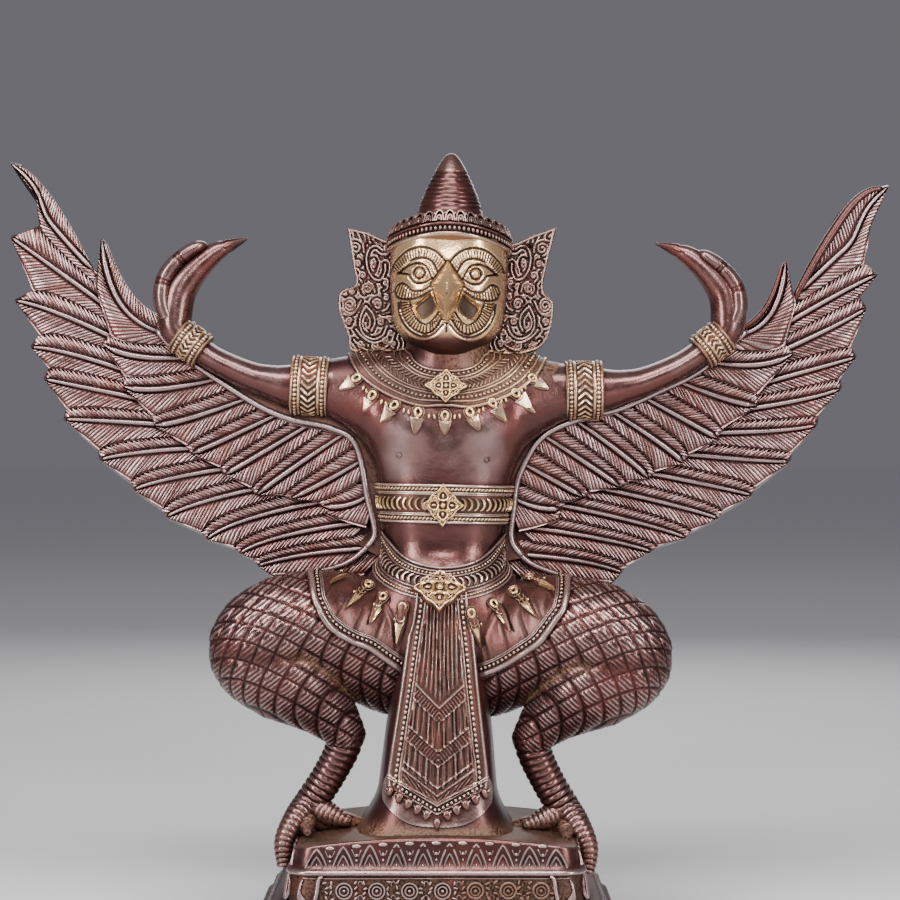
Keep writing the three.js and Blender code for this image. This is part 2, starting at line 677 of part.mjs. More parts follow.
const plinthFront = (z) => {
  const steps = plinthSteps();
  const above = Math.max(1, steps.findIndex(([height]) => height >= z));
  const [low, high] = [steps[above - 1], steps[above]];
  return -(PLINTH_TOP_DEPTH / 2 + THREE.MathUtils.mapLinear(z, low[0], high[0], low[1], high[1]));
};

// One petal of the band: an arch with a pointed top
function petal(x, width, height) {
  const half = width / 2;
  return [[x - half, bandFoot], [x + half, bandFoot], [x + half * 0.8, bandFoot + height * 0.55],
    [x, bandFoot + height], [x - half * 0.8, bandFoot + height * 0.55]];
}

function plinth() {
  const parts = [plinthCore(0)];
  const bandWidth = PLINTH_TOP_WIDTH - 2 * PLINTH_CORNER_RADIUS;
  const pitch = bandWidth / PETAL_COUNT;
  const put = (outline, z, relief) => frontBlock(outline, plinthFront(z) - relief, plinthFront(z) + 8);
  for (let i = 0; i < PETAL_COUNT; i += 1) {
    const x = (i + 0.5 - PETAL_COUNT / 2) * pitch;
    parts.push(put(petal(x, pitch * 0.8, PETAL_BAND_HEIGHT * 0.86), bandFoot, PETAL_RELIEF));
  }
  for (let i = 0; i < ROSETTE_COUNT; i += 1) {
    const x = (i + 0.5 - ROSETTE_COUNT / 2) * (FRIEZE_WIDTH / ROSETTE_COUNT);
    const z = (friezeTop + friezeFoot) / 2;
    for (const [share, relief] of [[1, PETAL_RELIEF], [0.5, 2 * PETAL_RELIEF]]) {
      const round = Array.from({ length: 6 }, (_, k) => {
        const angle = (Math.PI * (k + 0.5)) / 3;
        return [x + ROSETTE_RADIUS * share * Math.cos(angle), z + ROSETTE_RADIUS * share * Math.sin(angle)];
      });
      parts.push(put(round, z, relief));
    }
  }
  return join(parts);
}

// Feet: each toe lies on the plinth's top or hangs down its side
const leaned = (point) => point.clone()
  .applyAxisAngle(new THREE.Vector3(0, 1, 0), LEAN)
  .add(new THREE.Vector3(0, 0, PLINTH_HEIGHT));

function foot(sign) {
  const [x, y, z] = SHANK[SHANK.length - 1];
  const ankle = leaned(at(-sign * x, y, z));
  const side = sign * (PLINTH_TOP_WIDTH / 2 + TOE_RADIUS + 1);
  const hanging = (forward) => {
    const start = ankle.clone();
    const over = new THREE.Vector3(side - sign * 6, ankle.y + forward * 0.7, topEdge + 7);
    const down = new THREE.Vector3(side + sign * 3, ankle.y + forward, bandFoot + 6);
    const end = new THREE.Vector3(side + sign * 4, ankle.y + forward * 1.1, friezeTop - 8);
    const radii = [1.3, 1.1, 1, 0.6].map((share) => share * TOE_RADIUS);
    return bar([start, over, down, end], radii, 6);
  };
  const lying = (dx, dy, length) => {
    const end = ankle.clone().add(new THREE.Vector3(-sign * dx * length, dy * length, 0));
    end.z = PLINTH_HEIGHT + 1;
    const mid = ankle.clone().lerp(end, 0.5);
    mid.z = PLINTH_HEIGHT + 4;
    return bar([ankle, mid, end], [1.3, 1.05, 0.5].map((share) => share * TOE_RADIUS), 6);
  };
  return [hanging(-18), hanging(12), lying(0.95, -0.25, 30), lying(0.2, -0.98, 40)];
}

// The whole casting, leaned over the plinth and cut clear of it
function figure() {
  const body = [...torsoAndBelts(), collar(), ...sash()];
  body.push(bar([at(0, -3, 412), at(0, -4, 432)], [34 * UNIT, 35 * UNIT], 10));
  body.push(column(SKULL), crown(), ...face());
  for (const side of Object.values(SIDES)) {
    body.push(...wing(side), ...arm(side), ...ear(side), ...leg(side.sign));
  }
  const lean = new THREE.Matrix4().makeRotationY(LEAN).setPosition(0, 0, PLINTH_HEIGHT);
  const standing = join(body).transform(lean.elements);
  const feet = [...foot(-1), ...foot(1)];
  return join([standing, ...feet]).subtract(plinthCore(SEAT_GAP));
}

function patina(color, roughness, metalness) {
  return new THREE.MeshStandardMaterial({ color, roughness, metalness });
}

function named(name, manifold, material) {
  const mesh = new THREE.Mesh(geometryOf(manifold), material);
  mesh.name = name;
  return mesh;
}

const garuda = new THREE.Group();
garuda.add(named('garuda_figure', figure(), patina(0x5a3a35, 0.4, 0.8)));
garuda.add(named('plinth', plinth(), patina(0x4d2f2a, 0.5, 0.75)));

export default garuda;
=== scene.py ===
"""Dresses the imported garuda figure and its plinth: cast relief, ornaments and patina."""
import math

import bpy
import numpy as np
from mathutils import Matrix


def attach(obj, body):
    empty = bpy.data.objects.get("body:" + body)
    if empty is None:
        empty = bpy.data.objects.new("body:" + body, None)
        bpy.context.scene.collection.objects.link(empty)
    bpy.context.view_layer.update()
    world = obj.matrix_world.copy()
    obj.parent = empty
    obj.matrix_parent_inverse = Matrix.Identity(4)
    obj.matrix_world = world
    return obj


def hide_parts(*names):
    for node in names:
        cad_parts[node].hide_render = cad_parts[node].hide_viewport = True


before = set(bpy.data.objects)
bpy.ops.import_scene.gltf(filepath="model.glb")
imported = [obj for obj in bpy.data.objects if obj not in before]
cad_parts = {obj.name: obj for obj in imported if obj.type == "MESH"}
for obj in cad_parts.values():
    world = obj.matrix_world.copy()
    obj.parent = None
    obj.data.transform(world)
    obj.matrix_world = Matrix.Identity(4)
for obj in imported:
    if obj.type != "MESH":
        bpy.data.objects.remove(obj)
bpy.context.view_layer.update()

import openvdb
from mathutils import Vector

# Lengths are in millimetres until a mesh is built. The figure leans over the plinth about its seat.
MM = 0.001
SEAT = 78.0
LEAN = math.radians(1.25)
FIGURE = "garuda_figure"
UP = np.array([0.0, 0.0, 1.0])
TURN = 2 * math.pi

# Camera: level, as in the photograph, where a pixel is 0.75 mm at the figure's middle
CAMERA_X, CAMERA_AWAY, CAMERA_Z = 9.7, 1600, 355
PIXEL, HALF_IMAGE = 0.75, 450
camera_data = bpy.data.cameras.new("camera")
camera_data.sensor_width = 36.0
camera_data.lens = 85.33
camera = bpy.data.objects.new("camera", camera_data)
camera.location = (CAMERA_X * MM, -CAMERA_AWAY * MM, CAMERA_Z * MM)
camera.rotation_euler = (math.radians(90), 0, 0)
bpy.context.scene.collection.objects.link(camera)
bpy.context.scene.camera = camera


def clamp(values):
    return np.clip(values, 0, 1)


def ramp(values, start, reach):
    """Rises from 0 at the start to 1 a reach further on."""
    return clamp((values - start) / reach)


def hump(away, width):
    """Falls from 1 at no distance to 0 at a width."""
    return clamp(1 - (away / width) ** 2)


def round_turn(count):
    return TURN * np.arange(count) / count


def unit(vectors):
    return vectors / (np.linalg.norm(vectors, axis=-1)[..., None] + 1e-9)


def toned(wear, brass=0.0, dust=0.0):
    """Tone of points: wear, which in places also carries painted light and shade, share of brass and share of
    dust, each from 0 to 1.
    """
    return np.stack(np.broadcast_arrays(wear, brass, dust), -1)


# Points, faces and tone of a piece
class Skin:
    """Closed bodies gathered for one piece, with the tone of each point."""

    def __init__(self):
        self.points, self.faces, self.tones, self.count = [], [], [], 0

    def add(self, points, faces, tone):
        """Adds a body, turned outward. A face is four numbers, and a triangle repeats the third."""
        points = np.asarray(points, float).reshape(-1, 3)
        faces = np.asarray(faces)
        corner = points[faces]
        centre = points.mean(0)
        fan = np.cross(corner[:, 1] - corner[:, 0], corner[:, 2] - corner[:, 0])
        fan += np.cross(corner[:, 2] - corner[:, 0], corner[:, 3] - corner[:, 0])
        if (fan * (corner.mean(1) - centre)).sum() < 0:
            triangle = faces[:, 2] == faces[:, 3]
            faces = np.where(triangle[:, None], faces[:, [0, 2, 1, 1]], faces[:, [0, 3, 2, 1]])
        self.points.append(points)
        self.tones.append(np.broadcast_to(np.asarray(tone, float).reshape(-1, 3), points.shape))
        self.faces.append(faces + self.count)
        self.count += len(points)


def grid_faces(rows, cols, closed=False):
    """Faces of a grid whose columns run round. Where it is closed, its last row joins the first."""
    a, b = np.meshgrid(np.arange(rows if closed else rows - 1), np.arange(cols), indexing="ij")
    a2, b2 = (a + 1) % rows, (b + 1) % cols
    quads = [a * cols + b, a * cols + b2, a2 * cols + b2, a2 * cols + b]
    return np.stack(quads, -1).reshape(-1, 4)


def capped_faces(rows, cols):
    """Faces of a grid and of its two ends, each fanned round a point that follows the grid's own."""
    j = np.arange(cols)
    k = (j + 1) % cols
    last = (rows - 1) * cols
    low = np.stack([np.full(cols, rows * cols), k, j, j], -1)
    high = np.stack([np.full(cols, rows * cols + 1), last + j, last + k, last + k], -1)
    return np.concatenate([grid_faces(rows, cols), low, high])


def loft(skin, rings, tone):
    """A closed body through rings of equally many points, each end closed round its middle."""
    rings = np.asarray(rings, float)
    tone = np.broadcast_to(np.asarray(tone, float), rings.shape)
    ends = np.stack([rings[0].mean(0), rings[-1].mean(0)])
    tones = np.concatenate([tone.reshape(-1, 3), tone[0].mean(0)[None], tone[-1].mean(0)[None]])
    skin.add(np.concatenate([rings.reshape(-1, 3), ends]), capped_faces(*rings.shape[:2]), tones)


def hoop(skin, rings, tone):
    """A closed body through rings whose last joins the first."""
    rings = np.asarray(rings, float)
    skin.add(rings, grid_faces(*rings.shape[:2], True), tone)


def slab(skin, face, back_y, tone):
    """A closed body under a grid of front points, with its back at a depth."""
    back = face.copy()
    back[..., 1] = back_y
    tone = np.broadcast_to(np.asarray(tone, float), face.shape)
    loft(skin, np.concatenate([face, back[:, ::-1]], 1), np.concatenate([tone, tone[:, ::-1] * 0.3], 1))


def leaned(points):
    x, z = points[:, 0], points[:, 2] - SEAT
    c, s = math.cos(LEAN), math.sin(LEAN)
    return np.stack([x * c + z * s, points[:, 1], SEAT - x * s + z * c], -1)


def mesh_of(name, points, faces):
    """A mesh from the points and faces, where a triangle repeats its third corner."""
    triangle = faces[:, 2] == faces[:, 3]
    kept = np.ones(faces.shape, bool)
    kept[triangle, 3] = False
    corners = faces[kept].astype(np.int32)
    starts = np.concatenate([[0], np.cumsum(np.where(triangle, 3, 4))[:-1]]).astype(np.int32)
    mesh = bpy.data.meshes.new(name)
    mesh.vertices.add(len(points))
    mesh.vertices.foreach_set("co", (points * MM).astype(np.float32).ravel())
    mesh.loops.add(len(corners))
    mesh.loops.foreach_set("vertex_index", corners)
    mesh.polygons.add(len(faces))
    mesh.polygons.foreach_set("loop_start", starts)
    mesh.update(calc_edges=True)
    return mesh


def build(name, skin, material, node=FIGURE, upright=False):
    points = np.concatenate(skin.points)
    mesh = mesh_of(name, points if upright else leaned(points), np.concatenate(skin.faces))
    tones = np.concatenate(skin.tones)
    colors = np.concatenate([tones, np.ones((len(tones), 1))], 1).astype(np.float32)
    attribute = mesh.color_attributes.new("tone", "FLOAT_COLOR", "POINT")
    attribute.data.foreach_set("color", colors.ravel())
    mesh.shade_smooth()
    mesh.set_sharp_from_angle(angle=math.radians(60))
    mesh.materials.append(material)
    piece = bpy.data.objects.new(name, mesh)
    bpy.context.scene.collection.objects.link(piece)
    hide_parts(node)
    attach(piece, "root")


# Curves and relief seen from the front, in millimetres
def bezier(a, b, c, t):
    a, b, c = (np.asarray(p, float) for p in (a, b, c))
    t = np.asarray(t, float)[..., None]
    return (1 - t) ** 2 * a + 2 * t * (1 - t) * b + t ** 2 * c


def spline(points, per=16):
    """A smooth line through the points."""
    p = np.asarray(points, float)
    p = np.concatenate([[2 * p[0] - p[1]], p, [2 * p[-1] - p[-2]]])
    t = np.linspace(0, 1, per, endpoint=False)[:, None]
    parts = []
    for a, b, c, d in zip(p[:-3], p[1:-2], p[2:-1], p[3:]):
        parts.append(0.5 * (2 * b + (c - a) * t + (2 * a - 5 * b + 4 * c - d) * t ** 2
                            + (3 * b - a - 3 * c + d) * t ** 3))
    return np.concatenate(parts + [p[-2:-1]])


def lengths(line):
    return np.concatenate([[0], np.cumsum(np.linalg.norm(np.diff(line, axis=0), axis=1))])


def along(line, share):
    """Points at shares of a line's length."""
    run = lengths(line)
    share = np.asarray(share, float) * run[-1]
    return np.stack([np.interp(share, run, line[:, k]) for k in range(line.shape[1])], -1)


def at_depth(spots, y):
    """Spots seen from the front, at a depth."""
    return np.stack(np.broadcast_arrays(spots[..., 0], y, spots[..., 1]), -1)


def at_height(spots, z):
    """Spots seen from above, at a height."""
    return np.stack(np.broadcast_arrays(spots[..., 0], spots[..., 1], z), -1)


def normals(line):
    direction = unit(np.gradient(line, axis=0))
    return np.stack([-direction[:, 1], direction[:, 0]], -1)


def distance(spots, line):
    """Each spot's distance from a line, and how far along the line the nearest place is."""
    line = np.asarray(line, float)
    best = np.full(len(spots), 1e9)
    place = np.zeros(len(spots))
    run = lengths(line)
    for i, (a, b) in enumerate(zip(line[:-1], line[1:])):
        ab = b - a
        t = np.clip(((spots - a) @ ab) / max(ab @ ab, 1e-9), 0, 1)
        d = np.linalg.norm(spots - (a + t[:, None] * ab), axis=1)
        near = d < best
        best[near] = d[near]
        place[near] = run[i] + t[near] * (run[i + 1] - run[i])
    return best, place


class Relief:
    """Height and wear drawn over spots: raised or sunk lines, dots and patterns."""

    def __init__(self, spots):
        self.spots = np.asarray(spots, float)
        self.height = np.zeros(len(self.spots))
        self.wear = np.full(len(self.spots), 0.45)

    def near(self, low, high, margin):
        s = self.spots
        return np.nonzero((s[:, 0] > low[0] - margin) & (s[:, 0] < high[0] + margin)
                          & (s[:, 1] > low[1] - margin) & (s[:, 1] < high[1] + margin))[0]

    def press(self, swell, height, wear, rows=slice(None), spread=1.0):
        """Raises spots by a swell from 0 to 1, and brings their wear as far towards a value."""
        self.height[rows] += height * swell
        self.wear[rows] += (wear - self.wear[rows]) * clamp(swell * spread)

    def pattern(self, wave, height, wear, where):
        """Adds a wave of height and wear where it is wanted."""
        self.height += height * wave * where
        self.wear += wear * wave * where

    def line(self, points, width, height, smooth=True):
        points = spline(points, 6) if smooth else np.asarray(points, float)
        rows = self.near(points.min(0), points.max(0), width)
        away, _ = distance(self.spots[rows], points)
        self.press(hump(away, width) ** 0.7, height, float(height > 0), rows, 1.3)
        return self

    def dots(self, centres, radius, height):
        for centre in np.asarray(centres, float):
            rows = self.near(centre, centre, radius)
            off = self.spots[rows] - centre
            swell = np.sqrt(hump(np.hypot(off[:, 0], off[:, 1]), radius))
            self.press(swell, height, float(height > 0), rows, 1.2)
        return self


# Patina. Colours are linear.
BRASS = (0.68, 0.44, 0.225)
DUST = (0.21, 0.11, 0.058)
RED_BROWN = (0.15, 0.028, 0.022)


class Look:
    """A new material's nodes. A value is a number, a colour or another node's output."""

    def __init__(self, name):
        self.material = bpy.data.materials.new(name)
        self.material.use_nodes = True
        self.tree = self.material.node_tree
        self.shader = self.tree.nodes["Principled BSDF"].inputs
        self.place = self.node("TexCoord").outputs["Object"]

    def node(self, kind, **settings):
        node = self.tree.nodes.new("ShaderNode" + kind)
        for name, value in settings.items():
            setattr(node, name, value)
        return node

    def feed(self, socket, value):
        if isinstance(value, bpy.types.NodeSocket):
            self.tree.links.new(value, socket)
        else:
            socket.default_value = (*value, 1) if isinstance(value, tuple) else value

    def noise(self, scale, detail=4.0):
        node = self.node("TexNoise")
        for name, value in (("Scale", scale), ("Detail", detail), ("Vector", self.place)):
            self.feed(node.inputs[name], value)
        return node.outputs["Fac"]

    def calc(self, kind, first, second):
        node = self.node("Math", operation=kind)
        self.feed(node.inputs[0], first)
        self.feed(node.inputs[1], second)
        return node.outputs[0]

    def span(self, value, low, high, start=0.0, end=1.0):
        node = self.node("MapRange")
        for socket, number in zip(node.inputs[:5], (value, low, high, start, end)):
            self.feed(socket, number)
        return node.outputs["Result"]

    def mix(self, share, first, second):
        node = self.node("Mix", data_type="RGBA")
        self.feed(node.inputs["Factor"], share)
        self.feed(node.inputs[6], first)
        self.feed(node.inputs[7], second)
        return node.outputs[2]


def worn(look, wear, clouds, blotches):
    """Wear from a point's tone, lowered by painted shade in the hollows where ambient occlusion is low, and
    more on the edges.
    """
    edges = look.node("NewGeometry").outputs["Pointiness"]
    # Painted shade: ambient occlusion darkens the hollows.
    hollow = look.node("AmbientOcclusion", samples=6)
    look.feed(hollow.inputs["Distance"], 0.0035)
    parts = ((hollow.outputs["AO"], 0.35, 0.9, -0.42, 0.03), (clouds, 0.3, 0.7, -0.03, 0.03),
             (blotches, 0.3, 0.7, -0.03, 0.03), (edges, 0.44, 0.56, -0.25, 0.25))
    for part in parts:
        wear = look.calc("ADD", wear, look.span(*part))
    return wear


def patina(name, dark, brown, pale):
    """Cast bronze: dark in the recesses, partly by painted shade, worn pale on what stands out, with brass
    and dust by tone.
    """
    look = Look(name)
    tone = look.node("VertexColor", layer_name="tone")
    split = look.node("SeparateColor")
    look.feed(split.inputs["Color"], tone.outputs["Color"])
    clouds, blotches, specks = look.noise(22.0), look.noise(95.0), look.noise(600.0, 2.0)
    wear = worn(look, split.outputs["Red"], clouds, blotches)
    base = look.mix(look.span(wear, 0.0, 0.5), dark, brown)
    red = look.span(look.noise(30.0, 3.0), 0.5, 0.72)
    base = look.mix(look.calc("MULTIPLY", red, 0.35), base, RED_BROWN)
    base = look.mix(look.span(wear, 0.55, 1.2), base, pale)
    brass = look.calc("MULTIPLY", split.outputs["Green"], look.span(wear, 0.3, 0.75, 0.04, 1.0))
    base = look.mix(brass, base, BRASS)
    dust = look.calc("MULTIPLY", split.outputs["Blue"], look.span(specks, 0.35, 0.6))
    look.feed(look.shader["Base Color"], look.mix(dust, base, DUST))
    look.feed(look.shader["Metallic"], look.span(dust, 0.0, 1.0, 0.82, 0.0))
    uneven = look.span(blotches, 0.3, 0.7, -0.05, 0.05)
    rough = look.calc("ADD", look.span(wear, 0.1, 0.5, 0.42, 0.24), uneven)
    rough = look.calc("SUBTRACT", rough, look.calc("MULTIPLY", brass, 0.05))
    look.feed(look.shader["Roughness"], look.calc("ADD", rough, look.calc("MULTIPLY", dust, 0.4)))
    bump = look.node("Bump")
    grain = look.calc("ADD", specks, look.calc("MULTIPLY", look.noise(180.0), 2.0))
    for part, value in (("Strength", 0.25), ("Distance", 0.0004), ("Height", grain)):
        look.feed(bump.inputs[part], value)
    look.feed(look.shader["Normal"], bump.outputs["Normal"])
    return look.material


bronze = patina("bronze", (0.013, 0.006, 0.006), (0.105, 0.042, 0.038), (0.475, 0.36, 0.345))
plinth_bronze = patina("plinth_bronze", (0.014, 0.006, 0.006), (0.105, 0.044, 0.040), (0.46, 0.34, 0.32))


# Wings and arms. Places are [x, z] seen from the front. Those of an arm also give its half width and half
# depth, and those of a finger its radius.
SIDES = {
    "left": dict(
        sign=-1, wrist=-191,
        arm=[[-60, 397, 26, 24], [-88, 400.3, 20, 20], [-116, 400.6, 16, 17], [-133, 403.5, 12.4, 15],
             [-148, 407.5, 10.7, 14], [-171, 417.5, 9.5, 13.5], [-184, 425.5, 9.6, 13], [-202, 439, 11.6, 13],
             [-204.5, 451, 13.2, 13], [-201, 469, 12.6, 12], [-190, 485, 10.3, 10], [-176, 498, 7.8, 7.6],
             [-165, 504, 5.2, 5], [-151, 510, 0.8, 0.8]],
        finger=[[-209, 449, 6], [-213, 462, 7], [-211.5, 478, 6.8], [-203, 491, 6.2], [-192, 500, 5.4],
                [-181, 505, 3.6]],
        rim=[[-219, 441], [-200, 423], [-147, 389], [-117, 376], [-87, 370], [-67, 358], [-57, 318],
             [-51, 292], [-58, 280]],
        outer_tips=[[-334, 565], [-332, 509], [-328, 461], [-315, 426], [-304, 402], [-288, 372],
                    [-260, 342], [-234, 320], [-209, 300], [-178, 284], [-153, 274], [-139, 265]],
        lead_bend=[-300, 548], lead_hollow=9, lead_notch=20,
        outer_roots=[[-268, 482], [-247, 420], [-234, 384], [-191, 350], [-150, 325], [-84, 306], [-30, 282]],
        outer_bends=[[-304, 518], [-291, 435], [-271, 385], [-225, 337], [-179, 308], [-126, 285],
                     [-105, 277]],
        inner_tips=[[-262, 509], [-260, 430], [-244, 398], [-220, 369], [-191, 348], [-165, 333],
                    [-141, 318], [-115, 316], [-91, 311]],
        inner_bends=[[-256, 440], [-228, 397], [-197, 365], [-150, 343], [-97, 331], [-68, 308]],
        ear=[[-34, 424], [-47, 424], [-71, 427], [-75, 440], [-82, 458], [-81, 472], [-70, 478],
             [-72, 492], [-77, 520], [-62, 517], [-48, 511], [-34, 508]]),
    "right": dict(
        sign=1, wrist=198,
        arm=[[60, 398, 26, 24], [88, 401.5, 20, 20], [117, 402.6, 16, 17], [133, 405.5, 12.5, 15],
             [148, 409.5, 10.8, 14], [171, 420, 9.7, 13.5], [188, 431, 9.6, 13], [206, 446, 11.6, 13],
             [209.5, 457, 13.2, 13], [207, 475, 12.6, 12], [196, 490, 10.3, 10], [182, 502, 7.8, 7.6],
             [170, 508, 5.2, 5], [154, 513, 0.8, 0.8]],
        finger=[[213, 455, 6], [216, 466, 7], [213.5, 481, 6.8], [205, 493, 6.2], [195, 501, 5.4],
                [185, 507, 3.6]],
        rim=[[225, 450], [190, 419], [160, 403], [130, 389], [101, 381], [72, 366], [56, 338],
             [52, 311], [51, 289], [60, 276]],
        outer_tips=[[331, 562], [324, 495], [316, 469], [309, 432], [298, 408], [280, 380],
                    [260, 352], [232, 326], [207, 308], [183, 293], [157, 282], [135, 266]],
        lead_bend=[296, 562], lead_hollow=4, lead_notch=9,
        outer_roots=[[268, 482], [250, 424], [232, 384], [190, 350], [150, 327], [84, 306], [30, 280]],
        outer_bends=[[302, 512], [288, 437], [268, 390], [225, 343], [182, 314], [126, 288], [105, 277]],
        inner_tips=[[253, 503], [261, 434], [235, 394], [205, 368], [179, 349], [153, 337], [132, 330],
                    [104, 322], [87, 313]],
        inner_bends=[[250, 443], [226, 400], [197, 370], [150, 350], [97, 336], [68, 310]],
        ear=[[34, 426], [51, 426], [68, 432], [76, 443], [79, 466], [71, 477], [74, 498], [80, 524],
             [64, 518], [49, 511], [34, 508]]),
}
WING_BACK = 11.5
TIER_STEP = 4.0
ROOT_TUCK = 0.45
SHAFT_RADIUS = 1.9
BARB_PITCH = 3.5
BARB_LEAN = 0.95
BARB_PROFILE = np.array([0.0, 0.65, 1.0, 0.95, 0.5])
ROWS_PER_BARB = len(BARB_PROFILE)
# Columns of a feather's two vanes: share of the way from shaft to edge, depth, wear and height of the barbs
LOWER_VANE = [(1, 4.2, 0.2, 0), (1, -0.5, 0.35, 0), (0.97, -1.7, 0.75, 0), (0.9, -1.0, 0.2, 0),
              (0.86, -1.15, 0.38, 0.8), (0.5, -1.0, 0.42, 1), (0.14, -0.6, 0.36, 0.9), (0, 0.15, 0.2, 0)]
UPPER_VANE = [(0, 0.35, 0.2, 0), (0.16, -0.1, 0.36, 0.8), (0.55, 0.25, 0.42, 0.9), (0.95, 0.9, 0.32, 0.4),
              (1, 3.0, 0.1, 0)]


def wing_sweep(x):
    return 0.05 * (np.abs(x) - 60)


def notch(tip, after, sign, depth):
    """Where the outline steps in between a feather's tip and the next one down."""
    tip, after = np.array(tip, float), np.array(after, float)
    step = (tip - after) / np.linalg.norm(tip - after)
    inward = np.array([-step[1], step[0]]) * sign
    return after + 6 * step + depth * inward


def tier_lines(tips, roots, bends, sign, span, lead, trail, hollow, deepest):
    """The shafts of a tier of feathers and the valleys beside them."""
    last = len(tips) - 1
    roots, bends = spline(roots), spline(bends)
    t = np.linspace(0, 1, 41)

    def path(i, end):
        root = along(roots, span[0] + (span[1] - span[0]) * i / last)
        return bezier(root, along(bends, min(i / last, 1)), end, t)

    shafts = [path(i, tip) for i, tip in enumerate(tips)]
    ends = [notch(tips[i], tips[i + 1], sign, 2 + deepest * 0.6 ** i) for i in range(last)]
    valleys = [bezier(*lead, t)] + [path(i + 0.5, end) for i, end in enumerate(ends)] + [bezier(*trail, t)]
    turn = (np.array(tips[0]) + ends[0]) / 2 - np.array([sign * hollow, 0])
    return shafts, valleys, turn


def by_barb(rng, rows, low, spread):
    """A random value for each barb, at each of its rows."""
    barbs = rows // ROWS_PER_BARB + 1
    return np.repeat(low + spread * rng.random(barbs), ROWS_PER_BARB)[:rows]


def barb_ends(edge, shaft, u):
    """Where slanting barbs that leave a shaft at its shares u meet the vane's edge."""
    edge = along(edge, np.linspace(0, 1, 90))
    away, place = distance(edge, shaft)
    origin = np.maximum.accumulate((place - BARB_LEAN * away) / lengths(shaft)[-1])
    origin += np.linspace(0, 1e-6, len(origin))
    return np.stack([np.interp(u, origin, edge[:, k]) for k in (0, 1)], -1)


def feather(skin, shaft, above, below, depth, start, swell, seed):
    """One feather: two vanes of barbs beside a raised shaft, its upper vane under the one before."""
    rows = int(lengths(shaft)[-1] * (1 - start) / (BARB_PITCH / ROWS_PER_BARB))
    rng = np.random.default_rng(seed)
    stretch = by_barb(rng, rows, 0.75, 0.5)
    u = np.cumsum(stretch) - stretch[0]
    u = start + u / u[-1] * (0.985 - start)
    middle = along(shaft, u)
    side = normals(middle)
    toward = along(below, clamp(u)) - middle
    side *= np.sign((side * toward).sum(1))[:, None]
    low, high = (middle + (barb_ends(edge, shaft, u) - middle) * reach
                 for edge, reach in ((below, 1.0), (above, 1.1)))
    width = np.minimum(np.linalg.norm(low - middle, axis=1), np.linalg.norm(high - middle, axis=1))
    radius = np.minimum(SHAFT_RADIUS * swell(u), 0.42 * width + 0.15)
    crest = BARB_PROFILE[np.arange(rows) % ROWS_PER_BARB]
    strength = 0.55 * by_barb(rng, rows, 0.75, 0.5)
    paling = by_barb(rng, rows, 0.6, 0.8)
    fade = clamp(width / 3.5)
    columns = []

    def column(spots, y, wear, barb=0):
        x, z = spots.T
        lift = barb * crest * strength * fade
        rub = wear + (0.5 * crest * paling - 0.2) * min(1, barb * 1.5)
        columns.append(np.stack(np.broadcast_arrays(x, depth + wing_sweep(x) + y - lift, z, rub), -1))

    def vane(table, edge, way):
        foot = middle + side * way * (radius + 0.7)[:, None]
        for share, y, wear, barb in table:
            column(edge if share == 1 else foot + (edge - foot) * share, y, wear, barb)

    vane(LOWER_VANE, low, 1)
    for angle in (72, 25, -25, -72):
        c, s = math.cos(math.radians(angle)), math.sin(math.radians(angle))
        column(middle + side * (radius * s)[:, None], 0.2 - 1.35 * radius * c, 0.22 + 0.46 * c)
    vane(UPPER_VANE, high, -1)
    columns = np.stack(columns, 1)
    loft(skin, columns[..., :3], toned(clamp(columns[..., 3])))


def plate_lines(shafts, valleys, turn):
    """Lines over a wing's plate, four to each step from a shaft to a valley, and where they stand out."""
    lines = [valleys[0]]
    for shaft, valley in zip(shafts, valleys[1:]):
        lines += [shaft, valley]
    share = np.linspace(0, 1, 41)[:, None] ** 3
    between = (along(shafts[0], share[:, 0] ** (1 / 3)) + along(valleys[1], share[:, 0] ** (1 / 3))) / 2
    lines.insert(2, between + (turn - between[-1]) * share)
    lines = np.stack([along(line, np.linspace(0, 1, 36)) for line in lines])
    steps = 4
    share = (np.arange(steps) / steps)[None, :, None, None]
    fine = lines[:-1, None] * (1 - share) + lines[1:, None] * share
    fine = np.concatenate([fine.reshape(-1, *lines.shape[1:]), lines[-1:]])
    ridge = np.abs(np.sin(np.arange(len(fine)) / steps * math.pi / 2))
    return fine, ridge[:, None]


def wing_plate(skin, shafts, valleys, turn):
    """The plate behind the feathers, with a plainer carved back."""
    fine, ridge = plate_lines(shafts, valleys, turn)
    count = fine.shape[1]
    outward = fine - fine.mean((0, 1))
    outward /= np.linalg.norm(outward, axis=-1)[..., None]
    edge = np.zeros(fine.shape[:2])
    edge[:, -1] = 1
    edge[0] = edge[-1] = np.maximum(edge[0], np.linspace(0, 1, count) > 0.55)
    back = fine + outward * (2.4 * edge)[..., None]
    sweep = wing_sweep(fine[..., 0])
    barb = np.where(np.arange(count) % 2, 0.5, 0.0)[None, :] * (1 - edge)
    back_y = sweep + WING_BACK - 2.5 + 2.2 * ridge ** 2 * (1 - edge) + barb
    rings = np.concatenate([at_depth(fine, sweep + 1.6), at_depth(back, back_y)[:, ::-1]], 1)
    wear = np.zeros(rings.shape[:2])
    wear[:, count:] = (0.15 + 0.6 * ridge ** 2 * np.ones(count)) * 0.8
    loft(skin, rings, toned(wear))


def tube(skin, line, radius, depth, cols, wear, flat):
    """A bead along a line seen from the front, at a depth."""
    side = normals(line)
    radius = np.broadcast_to(np.asarray(radius, float), len(line)).copy()
    radius[[0, -1]] *= 0.45
    angle = round_turn(cols)
    spots = line[:, None] + side[:, None] * (radius[:, None] * np.cos(angle))[..., None]
    y = np.broadcast_to(depth, len(line))[:, None] + flat * radius[:, None] * np.sin(angle)
    # Painted light and shade: the bead is lighter on its front and darker towards its sides and back.
    tone = toned(clamp(wear * (0.25 - 0.85 * np.sin(angle))) * np.ones(y.shape))
    loft(skin, at_depth(spots, y), tone)


